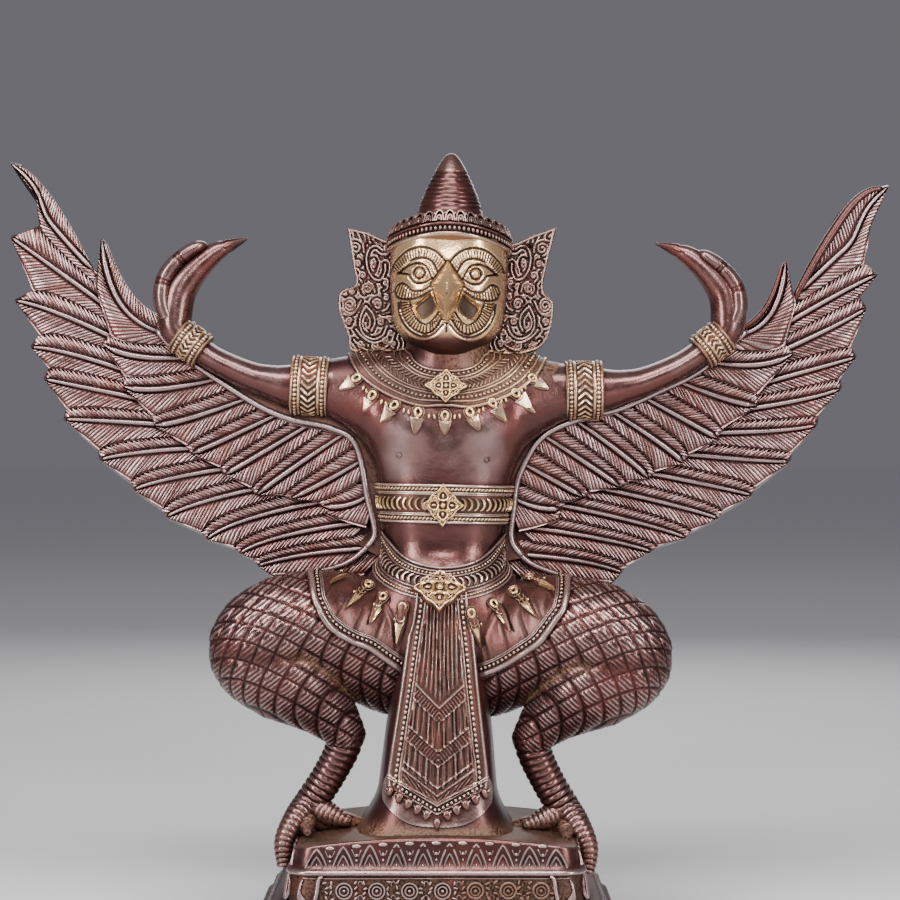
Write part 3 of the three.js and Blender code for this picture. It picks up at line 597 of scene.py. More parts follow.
def web(skin, rim, side):
    """The casting between the wing's rim and the arm and body it grows from, toned dark as painted shade."""
    sign = side["sign"]
    lift = 0 if sign < 0 else 2.5
    inner = [[214, 450], [198, 433], [172, 416], [147, 405], [117, 399], [85, 394], [48, 378], [38, 330],
             [36, 296], [36, 268]]
    inner = along(spline([[sign * x, z + lift] for x, z in inner]), np.linspace(0, 1, 90))
    outer = along(rim, np.linspace(0, 1, 90))
    share = np.linspace(-0.7, 1, 22)
    spots = (outer * (1 - share[:, None, None]) + inner * share[:, None, None]).transpose(1, 0, 2)
    sag = np.sin(clamp(share) * math.pi) * 1.2 + 22 * np.clip(-share, 0, 0.5)
    # The second slab fills the corner between the wing's foot and the waist. Both slabs are toned dark as
    # painted shade between the parts.
    x, z = np.meshgrid(np.linspace(36, 104, 18), np.linspace(252, 306, 15))
    fill = np.stack([-x, z], -1) if sign < 0 else np.stack([x[::-1], z[::-1]], -1)
    for spots, depth, tone in ((spots, sag[None] - 6.6, (0.22, 0.0, 0.2)), (fill, 2.2, (0.16, 0.0, 0.1))):
        sweep = wing_sweep(spots[..., 0])
        slab(skin, at_depth(spots, sweep + depth), sweep + 9.0, tone)


def tiers(side):
    """The shafts, valleys and turn of the outer and the inner tier of a wing."""
    sign = side["sign"]
    inner_tips, outer_tips = side["inner_tips"], side["outer_tips"]
    inner = tier_lines(
        inner_tips, [[x - sign * 7, z + 7] for x, z in side["rim"]], side["inner_bends"], sign, (0.06, 0.84),
        ([sign * 207, 449], [sign * 239, 451], [inner_tips[0][0] - sign * 4, inner_tips[0][1] - 5]),
        ([sign * 53, 294], [sign * 69, 297], [sign * 87, 305]), -8, 4)
    roots = np.array(side["outer_roots"], float)
    roots += ROOT_TUCK * (along(spline(side["rim"]), np.linspace(0, 1, len(roots))) - roots)
    outer = tier_lines(
        outer_tips, roots, side["outer_bends"], sign, (0, 1),
        ([sign * 254, 458], side["lead_bend"], [outer_tips[0][0] - sign * 8, outer_tips[0][1] - 2]),
        ([sign * 44, 262], [sign * 95, 254], [sign * 128, 257]), side["lead_hollow"], side["lead_notch"])
    return outer, inner


def swollen(tier, u):
    """How thick a shaft is at its shares: even in the outer tier, swelling midway in the inner one."""
    if tier == 0:
        return 1.05 - 0.45 * u ** 3
    return 0.45 + 0.75 * np.sin(clamp(u) * 1.9) + 0.25 * (u > 0.93)


def centred(shaft, above, below):
    """The leading feather's shaft, brought midway between its edges beyond the root."""
    t = np.linspace(0, 1, len(shaft))
    bent = ramp(t, 0.1, 0.8)[:, None]
    bent = bent * bent * (3 - 2 * bent)
    return shaft * (1 - bent) + (along(above, t) * 0.45 + along(below, t) * 0.55) * bent


def feathers(skin, tier, shafts, valleys, turn, sign):
    depth = (0.0, -TIER_STEP)[tier]
    for i, shaft in enumerate(shafts):
        tip = shaft[-1:]
        above = np.concatenate([valleys[i], tip])
        below = np.concatenate([valleys[i + 1]] + ([turn[None]] if i == 0 else []) + [tip])
        if i == 0 and tier == 0:
            shaft = centred(shaft, above, below)
        smooth = (shaft[:-4] + shaft[1:-3] + shaft[2:-2] + shaft[3:-1] + shaft[4:]) / 5
        shaft = np.concatenate([shaft[:2], smooth, shaft[-2:]])
        start = 0.0 if tier or i > 5 else 0.1
        feather(skin, shaft, above, below, depth, start, lambda u: swollen(tier, u), 17 * tier + i)
        if i == 0 and sign > 0:
            t = np.linspace(0.12, 0.96, 60)
            edge = along(above, t) * 0.87 + along(shaft, t) * 0.13
            thick = (3.6 - 1.6 * tier) * np.sin(math.pi * np.linspace(0.12, 0.93, 60)) ** 0.5
            tube(skin, edge, thick, wing_sweep(edge[:, 0]) + depth - 1.2, 12, 0.18, 1.1)


def rim_beads(skin, side, rim):
    """The bead on the wing's rim, the finer one inside it, and the hem below."""
    sign = side["sign"]
    line = along(rim, np.linspace(0, 1, 90))
    inside = along(spline([[x - sign * 4.5, z - 4.0] for x, z in side["rim"]]), np.linspace(0.02, 0.97, 90))
    base = wing_sweep(line[:, 0]) - TIER_STEP
    tube(skin, line, 2.7, base - 0.8, 10, 0.72, 1.4)
    tube(skin, inside, 0.9, base - 0.6, 8, 0.7, 2.0)
    hem = spline([*side["rim"][-2:], [sign * 74, 268], [sign * 100, 261], [sign * 128, 259]])
    hem = along(hem, np.linspace(0.1, 1, 40))
    depth = wing_sweep(hem[:, 0]) - TIER_STEP * np.linspace(1, 0.3, 40)
    tube(skin, hem, np.linspace(2.6, 1.2, 40), depth, 10, 0.6, 1.4)


def wing(name, side):
    skin = Skin()
    rim = spline(side["rim"])
    outer, inner = tiers(side)
    wing_plate(skin, *outer)
    for tier, lines in enumerate((outer, inner)):
        feathers(skin, tier, *lines, side["sign"])
    web(skin, rim, side)
    rim_beads(skin, side, rim)
    build(name, skin, bronze)


# Body forms, as fields that are negative inside. A column's rows are height, half width, and reach ahead
# and behind. A limb's stations are x, y, z and radius.
def column_field(x, y, z, rows, square):
    half, ahead, behind = (np.interp(z, rows[:, 0], rows[:, k]) for k in (1, 2, 3))
    reach = np.where(y < 0, ahead, behind)
    level = ((np.abs(x) / half) ** square + (np.abs(y) / reach) ** square) ** (1 / square)
    side = (level - 1) * np.minimum(half, reach)
    return np.maximum(side, np.maximum(rows[0, 0] - z, z - rows[-1, 0]))


def limb_field(x, y, z, stations):
    best = 1e9
    for a, b in zip(stations[:-1], stations[1:]):
        step = b[:3] - a[:3]
        t = (x - a[0]) * step[0] + (y - a[1]) * step[1] + (z - a[2]) * step[2]
        t = np.clip(t / (step @ step), 0, 1)
        off = (x - a[0] - t * step[0]) ** 2 + (y - a[1] - t * step[1]) ** 2 + (z - a[2] - t * step[2]) ** 2
        best = np.minimum(best, np.sqrt(off) - (a[3] + t * (b[3] - a[3])))
    return best


def blend(a, b, soft):
    h = np.clip(0.5 + 0.5 * (b - a) / soft, 0, 1)
    return b * (1 - h) + a * h - soft * h * (1 - h)


TORSO = spline([[190, 36, 44, 26], [215, 54, 48, 34], [240, 62, 49, 38], [260, 54, 44, 36],
                [275, 45, 37, 30], [285, 43.5, 35, 28], [305, 46.5, 36, 29], [330, 50, 37, 30],
                [345, 54, 38, 31], [360, 63, 39, 32], [378, 81, 38, 33], [395, 91, 36, 33],
                [417, 85, 28, 28], [426, 62, 19, 22]], 8)
SUPPORT = spline([[66, 64, 70, 56], [84, 52.5, 63, 44], [100, 45.4, 60, 34], [122, 42.5, 58, 27],
                 [150, 39.5, 56, 22], [200, 33, 52, 22], [250, 27, 45, 20]], 8)
THIGH = spline([[34, 4, 200, 44], [72, -16, 218, 44], [106, -36, 225, 38], [128, -46, 219, 34],
                [141, -48, 212, 27]], 3)
CALF = spline([[141, -44, 206, 27], [133, -42, 201, 34], [115, -35, 190, 36],
               [94, -27, 173, 27], [79, -22, 157, 19], [69, -18, 143, 14.6]], 3)
SHANK = [[70, -19, 151, 12.5], [69.5, -18, 143, 14], [72, -16, 130, 12.6], [82, -13, 110, 12],
         [92.5, -11, 93, 12], [98, -10, 83, 12]]
SHOULDER = np.array([[25, -1, 396, 25], [60, -4, 397, 23], [98, -5, 401, 17.5]], float)
NECK = np.array([[0, -3, 405, 34], [0, -5, 428, 31], [0, -6, 445, 29]], float)
CHEST = np.array([[26, -21, 372, 19], [44, -19, 380, 16]], float)


def torso_field(x, y, z):
    side = np.abs(x)
    form = column_field(x, y, z, TORSO, 2.3)
    form = blend(form, limb_field(side, y, z, SHOULDER), 12)
    form = blend(form, limb_field(side, y, z, CHEST), 10)
    return blend(form, limb_field(x, y, z, NECK), 7)


def leg_field(o, y, z):
    """A thigh and calf, where o is how far out a place lies to the side."""
    return blend(limb_field(o, y, z, THIGH), limb_field(o, y, z, CALF), 1.6)


def hip_field(x, y, z):
    return blend(torso_field(x, y, z), leg_field(np.abs(x), y, z), 4)


def support_field(x, y, z):
    return column_field(x, y, z, SUPPORT, 4.0)


def sash_field(x, y, z):
    return np.minimum(hip_field(x, y, z), support_field(x, y, z))


def waist_field(x, y, z):
    return blend(torso_field(x, y, z), support_field(x, y, z), 2)


def raised(field, gap):
    """The form a gap further out."""
    return lambda x, y, z: field(x, y, z) - gap


def front(spots, field, near=-110.0, far=12.0, steps=62):
    """The depth at which each spot seen from the front meets a form."""
    y = np.linspace(near, far, steps)
    values = field(spots[:, :1], y[None], spots[:, 1:2])
    inside = values < 0
    hit = np.where(inside.any(1), np.maximum(inside.argmax(1), 1), steps - 1)
    i = np.arange(len(spots))
    a, b = values[i, hit - 1], values[i, hit]
    return y[hit - 1] + np.clip(a / (a - b + 1e-9), 0, 1) * (y[1] - y[0])


def surface(field, low, high, step):
    """The skin of a field inside a box, as points and quads."""
    axes = [np.arange(a, b, step, dtype=np.float32) for a, b in zip(low, high)]
    x, y, z = np.meshgrid(*axes, indexing="ij", sparse=True)
    values = np.array(np.broadcast_to(field(x, y, z), [len(a) for a in axes]), dtype=np.float32)
    grid = openvdb.FloatGrid(100.0)
    grid.copyFromArray(values)
    points, quads = grid.convertToQuads(isovalue=0.0)
    return points * step + np.array(low), quads.astype(np.int64)


def refine(points, quads, chosen):
    """Splits the chosen quads in four, and joins the ones beside them to the new edges."""
    corner = len(points)
    pairs = np.stack([quads, np.roll(quads, -1, 1)], -1)
    key = np.sort(pairs, -1) @ np.array([corner, 1])
    cut = np.unique(key[chosen])
    split = np.isin(key, cut)
    middle = corner + np.searchsorted(cut, key)
    points = np.concatenate([points, (points[cut // corner] + points[cut % corner]) / 2])
    touched = np.nonzero(split.any(1))[0]
    heart = np.zeros(len(quads), np.int64)
    heart[touched] = len(points) + np.arange(len(touched))
    points = np.concatenate([points, points[quads[touched]].mean(1)])
    whole = np.nonzero(chosen)[0]
    faces = [quads[~split.any(1)]]
    for k in range(4):
        before = (k + 3) % 4
        faces.append(np.stack([quads[whole, k], middle[whole, k], heart[whole], middle[whole, before]], -1))
        border = np.nonzero(split.any(1) & ~chosen)[0]
        cut_edge = border[split[border, k]]
        plain = border[~split[border, k]]
        start, end = pairs[cut_edge, k, 0], pairs[cut_edge, k, 1]
        between, centre = middle[cut_edge, k], heart[cut_edge]
        faces.append(np.stack([start, between, centre, centre], -1))
        faces.append(np.stack([between, end, centre, centre], -1))
        faces.append(np.stack([pairs[plain, k, 0], pairs[plain, k, 1], heart[plain], heart[plain]], -1))
    return points, np.concatenate(faces)


def skin_normals(points, quads):
    corner = points[quads]
    face = np.cross(corner[:, 2] - corner[:, 0], corner[:, 3] - corner[:, 1])
    total = np.zeros(points.shape)
    for k in range(4):
        np.add.at(total, quads[:, k], face)
    total = unit(total)
    outside = (total * (points - points.mean(0))).sum() < 0
    return -total if outside else total


CHEST_RINGS = ((-33.6, 350.7), (30.9, 348.4))


def torso():
    skin = Skin()
    points, quads = surface(torso_field, (-104, -62, 186), (104, 46, 440), 3.1)
    normal = skin_normals(points, quads)
    relief = Relief(points[:, [0, 2]])
    for spot in CHEST_RINGS:
        relief.dots([spot], 1.9, 0.7).dots([spot], 0.9, -0.7)
    relief.line([[0, 262], [0, 268]], 2.5, -0.8)
    points = points + normal * (relief.height * clamp(-normal[:, 1] * 3))[:, None]
    x, _, z = points.T
    # Painted sheen across the chest with painted highlight strips each side of the middle, painted top light
    # on upward faces and painted shade on the torso's sides.
    paling = np.exp(-((z - 354) / 26) ** 2)
    sheen_strips = np.exp(-((np.abs(x + 2) - 32) / 11) ** 2)
    wear = 0.48 + paling * (0.13 + 0.1 * sheen_strips) + 0.1 * normal[:, 2] - 0.12 * ramp(np.abs(x), 40, 12)
    # Painted shade up the neck, under the chin.
    wear = wear * (1 - 0.5 * ramp(z, 400, 14))
    grime = ramp(z, 408, 12) * clamp(-normal[:, 1] * 2) * ramp(x, -12, 30)
    skin.add(points, quads, toned(clamp(wear), 0, grime * 0.8))
    turn = np.linspace(0, TURN, 17)[:-1]
    for spot in CHEST_RINGS:
        loop, upward = lay(spot + 1.9 * np.stack([np.cos(turn), np.sin(turn)], -1), torso_field, 0.1)
        cord(skin, loop, upward, 0.5, 0.5, (0.35, 0, 0), closed=True, cols=6)
    build("torso", skin, bronze)


LATTICE = 13.3
HATCH = 2.9


def scales(o, y, z):
    """Height and wear of the thigh's lozenge lattice, whose cells are filled with slanting strokes."""
    bent = 0.4 * o - 0.4 * np.maximum(o - 120, 0) ** 2 / 140
    first = (z - bent + 0.35 * y) / LATTICE
    second = (o + 0.55 * z + 0.6 * y) / LATTICE
    a = np.abs(first - np.round(first)) * LATTICE
    b = np.abs(second - np.round(second)) * LATTICE * 0.8
    border = np.minimum(a, b)
    groove = clamp(1 - border / 0.95)
    inside = ramp(border, 1.1, 0.8)
    crest = clamp(0.5 + 1.1 * np.cos(TURN * (0.64 * o + 0.77 * z) / HATCH))
    height = 0.5 * clamp(border / 4) - 0.75 * groove + 0.42 * inside * crest
    wear = 0.52 + inside * (0.55 * crest - 0.27) - 0.5 * groove
    return height, wear


def legs():
    """Both thighs and calves, whose points are finest where the lattice shows."""
    points, quads = surface(leg_field, (0, -100, 126), (190, 56, 270), 2.1)
    normal = skin_normals(points, quads)
    o, _, z = points[quads].min(1).T
    shown = (o > 24) & ((z < 200 + 0.8 * (o - 26)) | (o > 88))
    points, quads = refine(points, quads, (normal[quads, 1].min(1) < 0.35) & shown)
    points, normal = settle(points, leg_field)
    height, wear = scales(*points.T)
    ahead = np.clip(0.75 - normal[:, 1] * 1.2, 0.12, 1)
    points = points + normal * (height * ahead)[:, None]
    # Painted top light: upward faces are lighter.
    wear = clamp(0.3 + (wear - 0.3) * ahead + 0.1 * normal[:, 2])
    crease = clamp(1 - np.abs(limb_field(*points.T, THIGH) - limb_field(*points.T, CALF)) / 5)
    grime = crease * ramp(points[:, 0], 120, -30) * ahead
    # Painted shade in the crease between thigh and calf darkens the wear; the dust there is dirt.
    tone = toned(wear * (1 - 0.5 * crease), 0, grime * 0.7)
    for name, sign in (("leg_left", -1), ("leg_right", 1)):
        skin = Skin()
        skin.add(points * (sign, 1, 1), quads if sign > 0 else quads[:, [1, 0, 3, 2]], tone)
        build(name, skin, bronze)


def ringed(skin, stations, pitch, swell, cols, dust, sign):
    """A scaly toe or shank: a bar through [x, y, z, radius] places with overlapping rings."""
    line = spline([[sign * s[0], *s[1:]] for s in stations], 24)
    size = lengths(line[:, :3])[-1]
    u = np.linspace(0, 1, max(12, int(size / pitch * 6)))
    spot = along(line, u)
    ahead = np.gradient(spot[:, :3], axis=0)
    ahead /= np.linalg.norm(ahead, axis=1)[:, None]
    hint = (0.0, 1.0, 0.0) if np.abs(ahead[:, 1]).max() < 0.95 else (sign * 1.0, 0.0, 0.0)
    across = np.cross(hint, ahead)
    across /= np.linalg.norm(across, axis=1)[:, None]
    up = np.cross(ahead, across)
    bulge = np.sqrt(hump(2 * ((u * size / pitch) % 1.0) - 1, 1))
    radius = spot[:, 3] + swell * (bulge - 0.6)
    angle = round_turn(cols)
    ring = across[:, None] * np.cos(angle)[None, :, None] + up[:, None] * np.sin(angle)[None, :, None]
    rings = spot[:, None, :3] + ring * np.maximum(radius, 0.2)[:, None, None]
    bulge = bulge[:, None]
    # The ring crests are worn lighter; upward and front faces are lighter by painted light.
    wear = clamp(0.02 + 0.36 * bulge + 0.1 * ring[..., 2] - 0.08 * ring[..., 1])
    grime = dust * (1 - ramp(rings[..., 2], SEAT, 18)) * (1 - 0.6 * bulge)
    loft(skin, rings, toned(wear, 0, grime))


def feet():
    """Shanks, two toes over the plinth's edge, one towards the support, one ahead, and a low mound."""
    skin = Skin()
    for sign in (-1, 1):
        ringed(skin, SHANK, 5.2, 1.8, 30, 0.5, sign)
        outer = 109 - LEAN * 5 * sign
        for forward in (-18, 12):
            toe = [[95, -11, 92, 10.5], [outer - 4, -11 + 0.7 * forward, 79, 8.8],
                   [outer + 3, -11 + forward, 64, 7.2], [outer + 3, -11 + 1.1 * forward, 46, 4.5]]
            ringed(skin, toe, 3.8, 1.2, 18, 0.35, sign)
        for toe, swell, dust in (([[95, -12, 90, 10], [80, -16, 83, 8.5], [64, -21, 78, 3]], 1.0, 0.8),
                                 ([[97, -14, 82, 9], [96, -28, 76, 5.5], [94, -42, 73, 2]], 0.9, 0.9)):
            ringed(skin, toe, 3.8, swell, 18, dust, sign)
        mound = [[96, -10, 84, 12], [80, -8, 78, 10], [60, -6, 74.5, 6], [44, -4, 73, 1]]
        ringed(skin, mound, 12, 0.0, 24, 1.0, sign)
    build("feet", skin, bronze)


# Arms and hands
ARM_DEPTH = -5.0


def flat_bar(skin, line, wide, deep, middle_y, cols, wear):
    """A bar along a line seen from the front. wear() gives its wear from the upward share and the angle,
    which the arms use for painted light on the top and front.
    """
    across = normals(line)
    angle = round_turn(cols)
    flat = line[:, None] + across[:, None] * (wide[:, None] * np.cos(angle))[..., None]
    y = middle_y + deep[:, None] * np.sin(angle)
    loft(skin, at_depth(flat, y), toned(wear(across[:, 1:2] * np.cos(angle), angle)))


def arm(skin, side):
    """An arm that runs on into a long curved finger with a nail, and the shorter finger beside it."""
    u = np.linspace(0, 1, 110)
    spot = along(spline(side["arm"], 10), u)
    groove = 0.7 * np.exp(-((u - 0.925) / 0.006) ** 2)
    wide, deep = (np.maximum(spot[:, k], 0.3) - groove for k in (2, 3))
    nail = ramp(u, 0.93, 0.02)[:, None]
    # Painted light: the arm is lighter on its upper and front faces; the nail is dark.
    flat_bar(skin, spot[:, :2], wide, deep, ARM_DEPTH, 36,
             lambda up, angle: clamp((0.42 + 0.14 * up - 0.08 * np.sin(angle)) * (1 - 0.9 * nail)))
    u = np.linspace(0, 1, 72)
    spot = along(spline(side["finger"], 10), u)
    crease = sum(np.exp(-((u - place) / 0.012) ** 2) for place in (0.36, 0.40, 0.66, 0.70))
    blunt = np.clip(np.sqrt(clamp(1 - ((u - 0.9) / 0.1).clip(0) ** 2)), 0.1, 1)
    radius = spot[:, 2] * blunt - 0.5 * crease
    # Painted light: the finger is lighter on its upper and front faces.
    flat_bar(skin, spot[:, :2], radius, 1.45 * radius, ARM_DEPTH - 4.5, 36,
             lambda up, angle: clamp(0.45 + 0.15 * up - 0.5 * crease[:, None] - 0.1 * np.sin(angle)))


def band(skin, middle, heading, wide, deep, length, draw):
    """A carved band round an arm. draw() adds its relief over [length round the arm, across the band]."""
    rim = TURN * math.sqrt((wide ** 2 + deep ** 2) / 2)
    step = 0.85
    v = np.linspace(-length / 2, length / 2, int(length / step))
    angle = round_turn(int(rim / step))
    lap, span = np.meshgrid(angle / TURN * rim, v)
    relief = Relief(np.stack([lap.ravel(), span.ravel()], -1))
    draw(relief, rim)
    height = relief.height.reshape(lap.shape)
    heading = np.array(heading, float) / np.linalg.norm(heading)
    across = np.array([-heading[1], heading[0]])
    flat = np.array(middle)[None, None] + heading * v[:, None, None]
    flat = flat + across * ((wide + height) * np.cos(angle))[..., None]
    y = ARM_DEPTH + (deep + height) * np.sin(angle)
    wear = relief.wear.reshape(lap.shape)
    loft(skin, at_depth(flat, y), toned(wear, 0.75 * clamp(0.4 + 0.6 * wear), 0.1))


def beaded_band(edges, rows, chevrons):
    """Relief of a band: raised edge lines, rows of beads and rows of chevrons, at places across it."""
    def draw(relief, rim):
        lap, span = relief.spots.T
        for v in edges:
            relief.press(hump(np.abs(span - v), 0.9), 0.9, 0.95)
        relief.wear[relief.height < 0.05] = 0.1
        for v, radius in rows:
            count = round(rim / (2.3 * radius))
            beside = ((lap / rim * count) % 1 - 0.5) * rim / count
            relief.press(np.sqrt(hump(np.hypot(beside, span - v) / radius, 1)), radius, 1)
        for v, reach, pitch in chevrons:
            away = np.abs(span - v)
            slant = (lap + 0.9 * away) / (rim / round(rim / pitch))
            relief.press(clamp(np.cos(TURN * slant) * 1.2) * (away < reach), 1.1, 1)
    return draw


def arms():
    for name, side in SIDES.items():
        skin = Skin()
        arm(skin, side)
        sign = side["sign"]
        upper, lower = side["arm"][1:3]
        band(skin, ((upper[0] + lower[0]) / 2, upper[1] + 0.5), (sign, 0.03), 21.2, 21.2, 28,
             beaded_band((-13, -7.2, 7.2, 13), ((-10, 1.5), (10, 1.5)), ((0, 5.5, 5.2),)))
        line = spline(side["arm"], 10)
        near = np.argmin(np.abs(line[:70, 0] - side["wrist"]))
        heading = line[near + 3, :2] - line[near - 3, :2]
        band(skin, line[near, :2], heading, 13.2, 16.0, 23,
             beaded_band((-10.6, -3.6, 3.6, 10.6), ((-7.2, 1.4), (7.2, 1.4)), ((0, 2.7, 4.6),)))
        build("arm_" + name, skin, bronze)


# Ornaments laid on the forms
def slope(points, field):
    """The outward direction of a form at each place."""
    reach = 0.4
    parts = []
    for k in range(3):
        step = np.zeros(3)
        step[k] = reach
        parts.append(field(*(points + step).T) - field(*(points - step).T))
    return unit(np.stack(parts, -1))


def settle(points, field, gap=0.0):
    """Moves points to a distance off a form."""
    points = np.array(points, float).reshape(-1, 3)
    for _ in range(7):
        outward = slope(points, field)
        points -= outward * np.clip(field(*points.T) - gap, -4, 4)[:, None] * 0.85
    return points, slope(points, field)


def lay(spots, field, gap=0.0):
    """Spots seen from the front, laid on a form."""
    spots = np.asarray(spots, float).reshape(-1, 2)
    return settle(at_depth(spots, front(spots, field)), field, gap)


def grains(skin, centres, heading, normal, size, tone, taper=0.0, rows=4, cols=7):
    """Small rounded bodies, each with a half length, half width and half height."""
    centres = np.asarray(centres, float).reshape(-1, 3)
    n = len(centres)
    normal, heading, size, tone = (np.broadcast_to(np.asarray(part, float), (n, 3))
                                   for part in (normal, heading, size, tone))
    normal = unit(normal)
    heading = unit(heading - normal * (heading * normal).sum(1)[:, None])
    across = np.cross(normal, heading)
    tilt = np.linspace(-math.pi / 2, math.pi / 2, rows + 2)[1:-1]
    turn = round_turn(cols)
    a = np.repeat(np.sin(tilt), cols)
    slim = taper * (a + 1) / 2
    b = np.outer(np.cos(tilt), np.cos(turn)).ravel() * (1 - slim)
    c = np.outer(np.cos(tilt), np.sin(turn)).ravel() * (1 - 0.4 * slim)
    a, b, c = (np.append(part, ends) for part, ends in ((a, (-1, 1)), (b, (0, 0)), (c, (0, 0))))
    points = centres[:, None]
    for k, (way, shares) in enumerate(((heading, a), (across, b), (normal, c))):
        points = points + (way * size[:, k:k + 1])[:, None] * shares[:, None]
    faces = capped_faces(rows, cols)
    faces = (faces[None] + (np.arange(n) * len(a))[:, None, None]).reshape(-1, 4)
    tone = tone[:, None] * np.ones((1, len(a), 1))
    # Painted shade: each grain grows darker towards its foot on the form.
    tone[..., 0] *= np.clip(0.25 + 0.9 * c, 0.05, 1)
    skin.add(points, faces, tone)


def heading_of(line, closed):
    """The direction at each point of a line."""
    return unit(np.roll(line, -1, 0) - np.roll(line, 1, 0) if closed else np.gradient(line, axis=0))


def cord(skin, line, normal, wide, high, tone, closed=False, cols=7):
    """A rounded bar along a line that lies on a form."""
    n = len(line)
    normal = unit(np.broadcast_to(np.asarray(normal, float), line.shape))
    across = unit(np.cross(normal, heading_of(line, closed)))
    wide, high = (np.broadcast_to(np.asarray(size, float), n)[:, None, None] for size in (wide, high))
    angle = round_turn(cols)
    rings = line[:, None] + across[:, None] * wide * np.cos(angle)[None, :, None]
    rings = rings + normal[:, None] * high * np.sin(angle)[None, :, None]
    tone = np.broadcast_to(np.asarray(tone, float), (n, 3))[:, None] * np.ones((1, cols, 1))
    # Painted shade: each cord grows darker towards the form it lies on.
    tone[..., 0] *= np.clip(0.3 + 0.8 * np.sin(angle), 0.05, 1)
    (hoop if closed else loft)(skin, rings, tone)


def shifted(line, normal, offset, field, gap, closed=False):
    """A line beside another, settled on a form, with the directions off it."""
    return settle(line + unit(np.cross(heading_of(line, closed), normal)) * offset, field, gap)


def evenly(line, pitch, field, gap, closed=False):
    """Places at a pitch along a line, settled on a form, with the directions ahead and off it."""
    line = np.concatenate([line, line[:1]]) if closed else line
    count = max(3, round(lengths(line)[-1] / pitch))
    spots = along(line, np.arange(count) / count if closed else np.linspace(0, 1, count))
    ahead = heading_of(spots, closed)
    spots, upward = settle(spots, field, gap)
    return spots, ahead, upward


def stud(skin, spots, field, gap, size, tone, heading=UP, **shape):
    """Grains on a form, at spots seen from the front."""
    places, upward = lay(spots, field, gap)
    grains(skin, places, heading, upward, size, tone, **shape)
    return places, upward


def crescents(skin, spots, ahead, across, upward, size, tone):
    """Curved bars that open towards the middle of the figure."""
    outer = ahead * np.sign(spots[:, :1] * ahead[:, :1])
    arc = np.linspace(-1.25, 1.25, 7)
    for spot, away, beside, up in zip(spots, outer, across, upward):
        line = spot + size[0] * ((np.cos(arc) - 0.6)[:, None] * away + 1.1 * np.sin(arc)[:, None] * beside)
        cord(skin, line, up, size[1] * np.cos(arc * 0.9), size[2] * np.cos(arc * 0.7), tone, cols=6)


def trim(skin, line, field, cords, patterns):
    """Cords and grains beside a closed line on a form, each at an offset from it."""
    line, normal = settle(line, field, 0)
    for offset, radius, tone in cords:
        beside, upward = shifted(line, normal, offset, field, 0, closed=True)
        cord(skin, beside + upward * 0.3, upward, radius, radius, tone, closed=True)
    for offset, pitch, size, tone, tilt in patterns:
        beside, _ = shifted(line, normal, offset, field, 0, closed=True)
        spots, ahead, upward = evenly(beside, pitch, field, size[2] * 0.35, closed=True)
        across = np.cross(upward, ahead)
        if tilt is None:
            crescents(skin, spots, ahead, across, upward, size, tone)
            continue
        turn = math.radians(tilt)
        grains(skin, spots, ahead * math.cos(turn) + across * math.sin(turn), upward, size, tone)


def sheet(skin, spots, field, gap, relief, tone, depth=2.5, keep=6):
    """A plate over a grid of spots on a form. Its front carries relief and its back is plainer."""
    rows, cols = spots.shape[:2]
    base, normal = lay(spots, field, gap)
    face = (base + normal * relief.reshape(-1, 1)).reshape(rows, cols, 3)
    inner = (base - normal * (gap + depth)).reshape(rows, cols, 3)
    pick = np.unique(np.append(np.arange(0, cols, keep), cols - 1))[::-1]
    tone = np.broadcast_to(tone, face.shape)
    rings = np.concatenate([face, inner[:, pick]], 1)
    loft(skin, rings, np.concatenate([tone, tone[:, pick] * (0.3, 1, 1)], 1))


METAL = (0.85, 0.55, 0.1)
GOLD = (1.0, 0.95, 0.0)
DULL = (0.62, 0.0, 0.12)
PALE = (0.9, 0.25, 0.0)


def rosette(skin, centre, ahead, normal, radius, tone, petals=4):
    """A small flower of hollow petals round a raised middle."""
    across = np.cross(normal, ahead)
    t = np.linspace(0, TURN, 15)[:-1]
    reach = 0.66 + 0.34 * np.cos(t)
    width = 0.26 * np.sin(t) * (1.25 - 0.4 * np.cos(t))
    for i in range(petals):
        turn = TURN * i / petals
        way = ahead * math.cos(turn) + across * math.sin(turn)
        beside = np.cross(normal, way)
        loop = centre + radius * (way * reach[:, None] + beside * width[:, None]) + normal * 0.7
        cord(skin, loop, normal, 0.09 * radius, 0.13 * radius, tone, closed=True)
        grains(skin, [centre + way * radius * 0.62 + normal * 0.5], way, normal,
               (0.17 * radius, 0.1 * radius, 0.12 * radius), tone)
        between = unit(way + beside)
        grains(skin, [centre + between * radius * 0.56 + normal * 0.6], between, normal,
               (0.24 * radius, 0.11 * radius, 0.1 * radius), (tone[0] * 0.8, tone[1], 0.0), taper=0.5)
    middle = (0.2 * radius, 0.2 * radius, 0.25 * radius)
    grains(skin, [centre + normal * 0.5], ahead, normal, middle, tone, rows=6, cols=12)


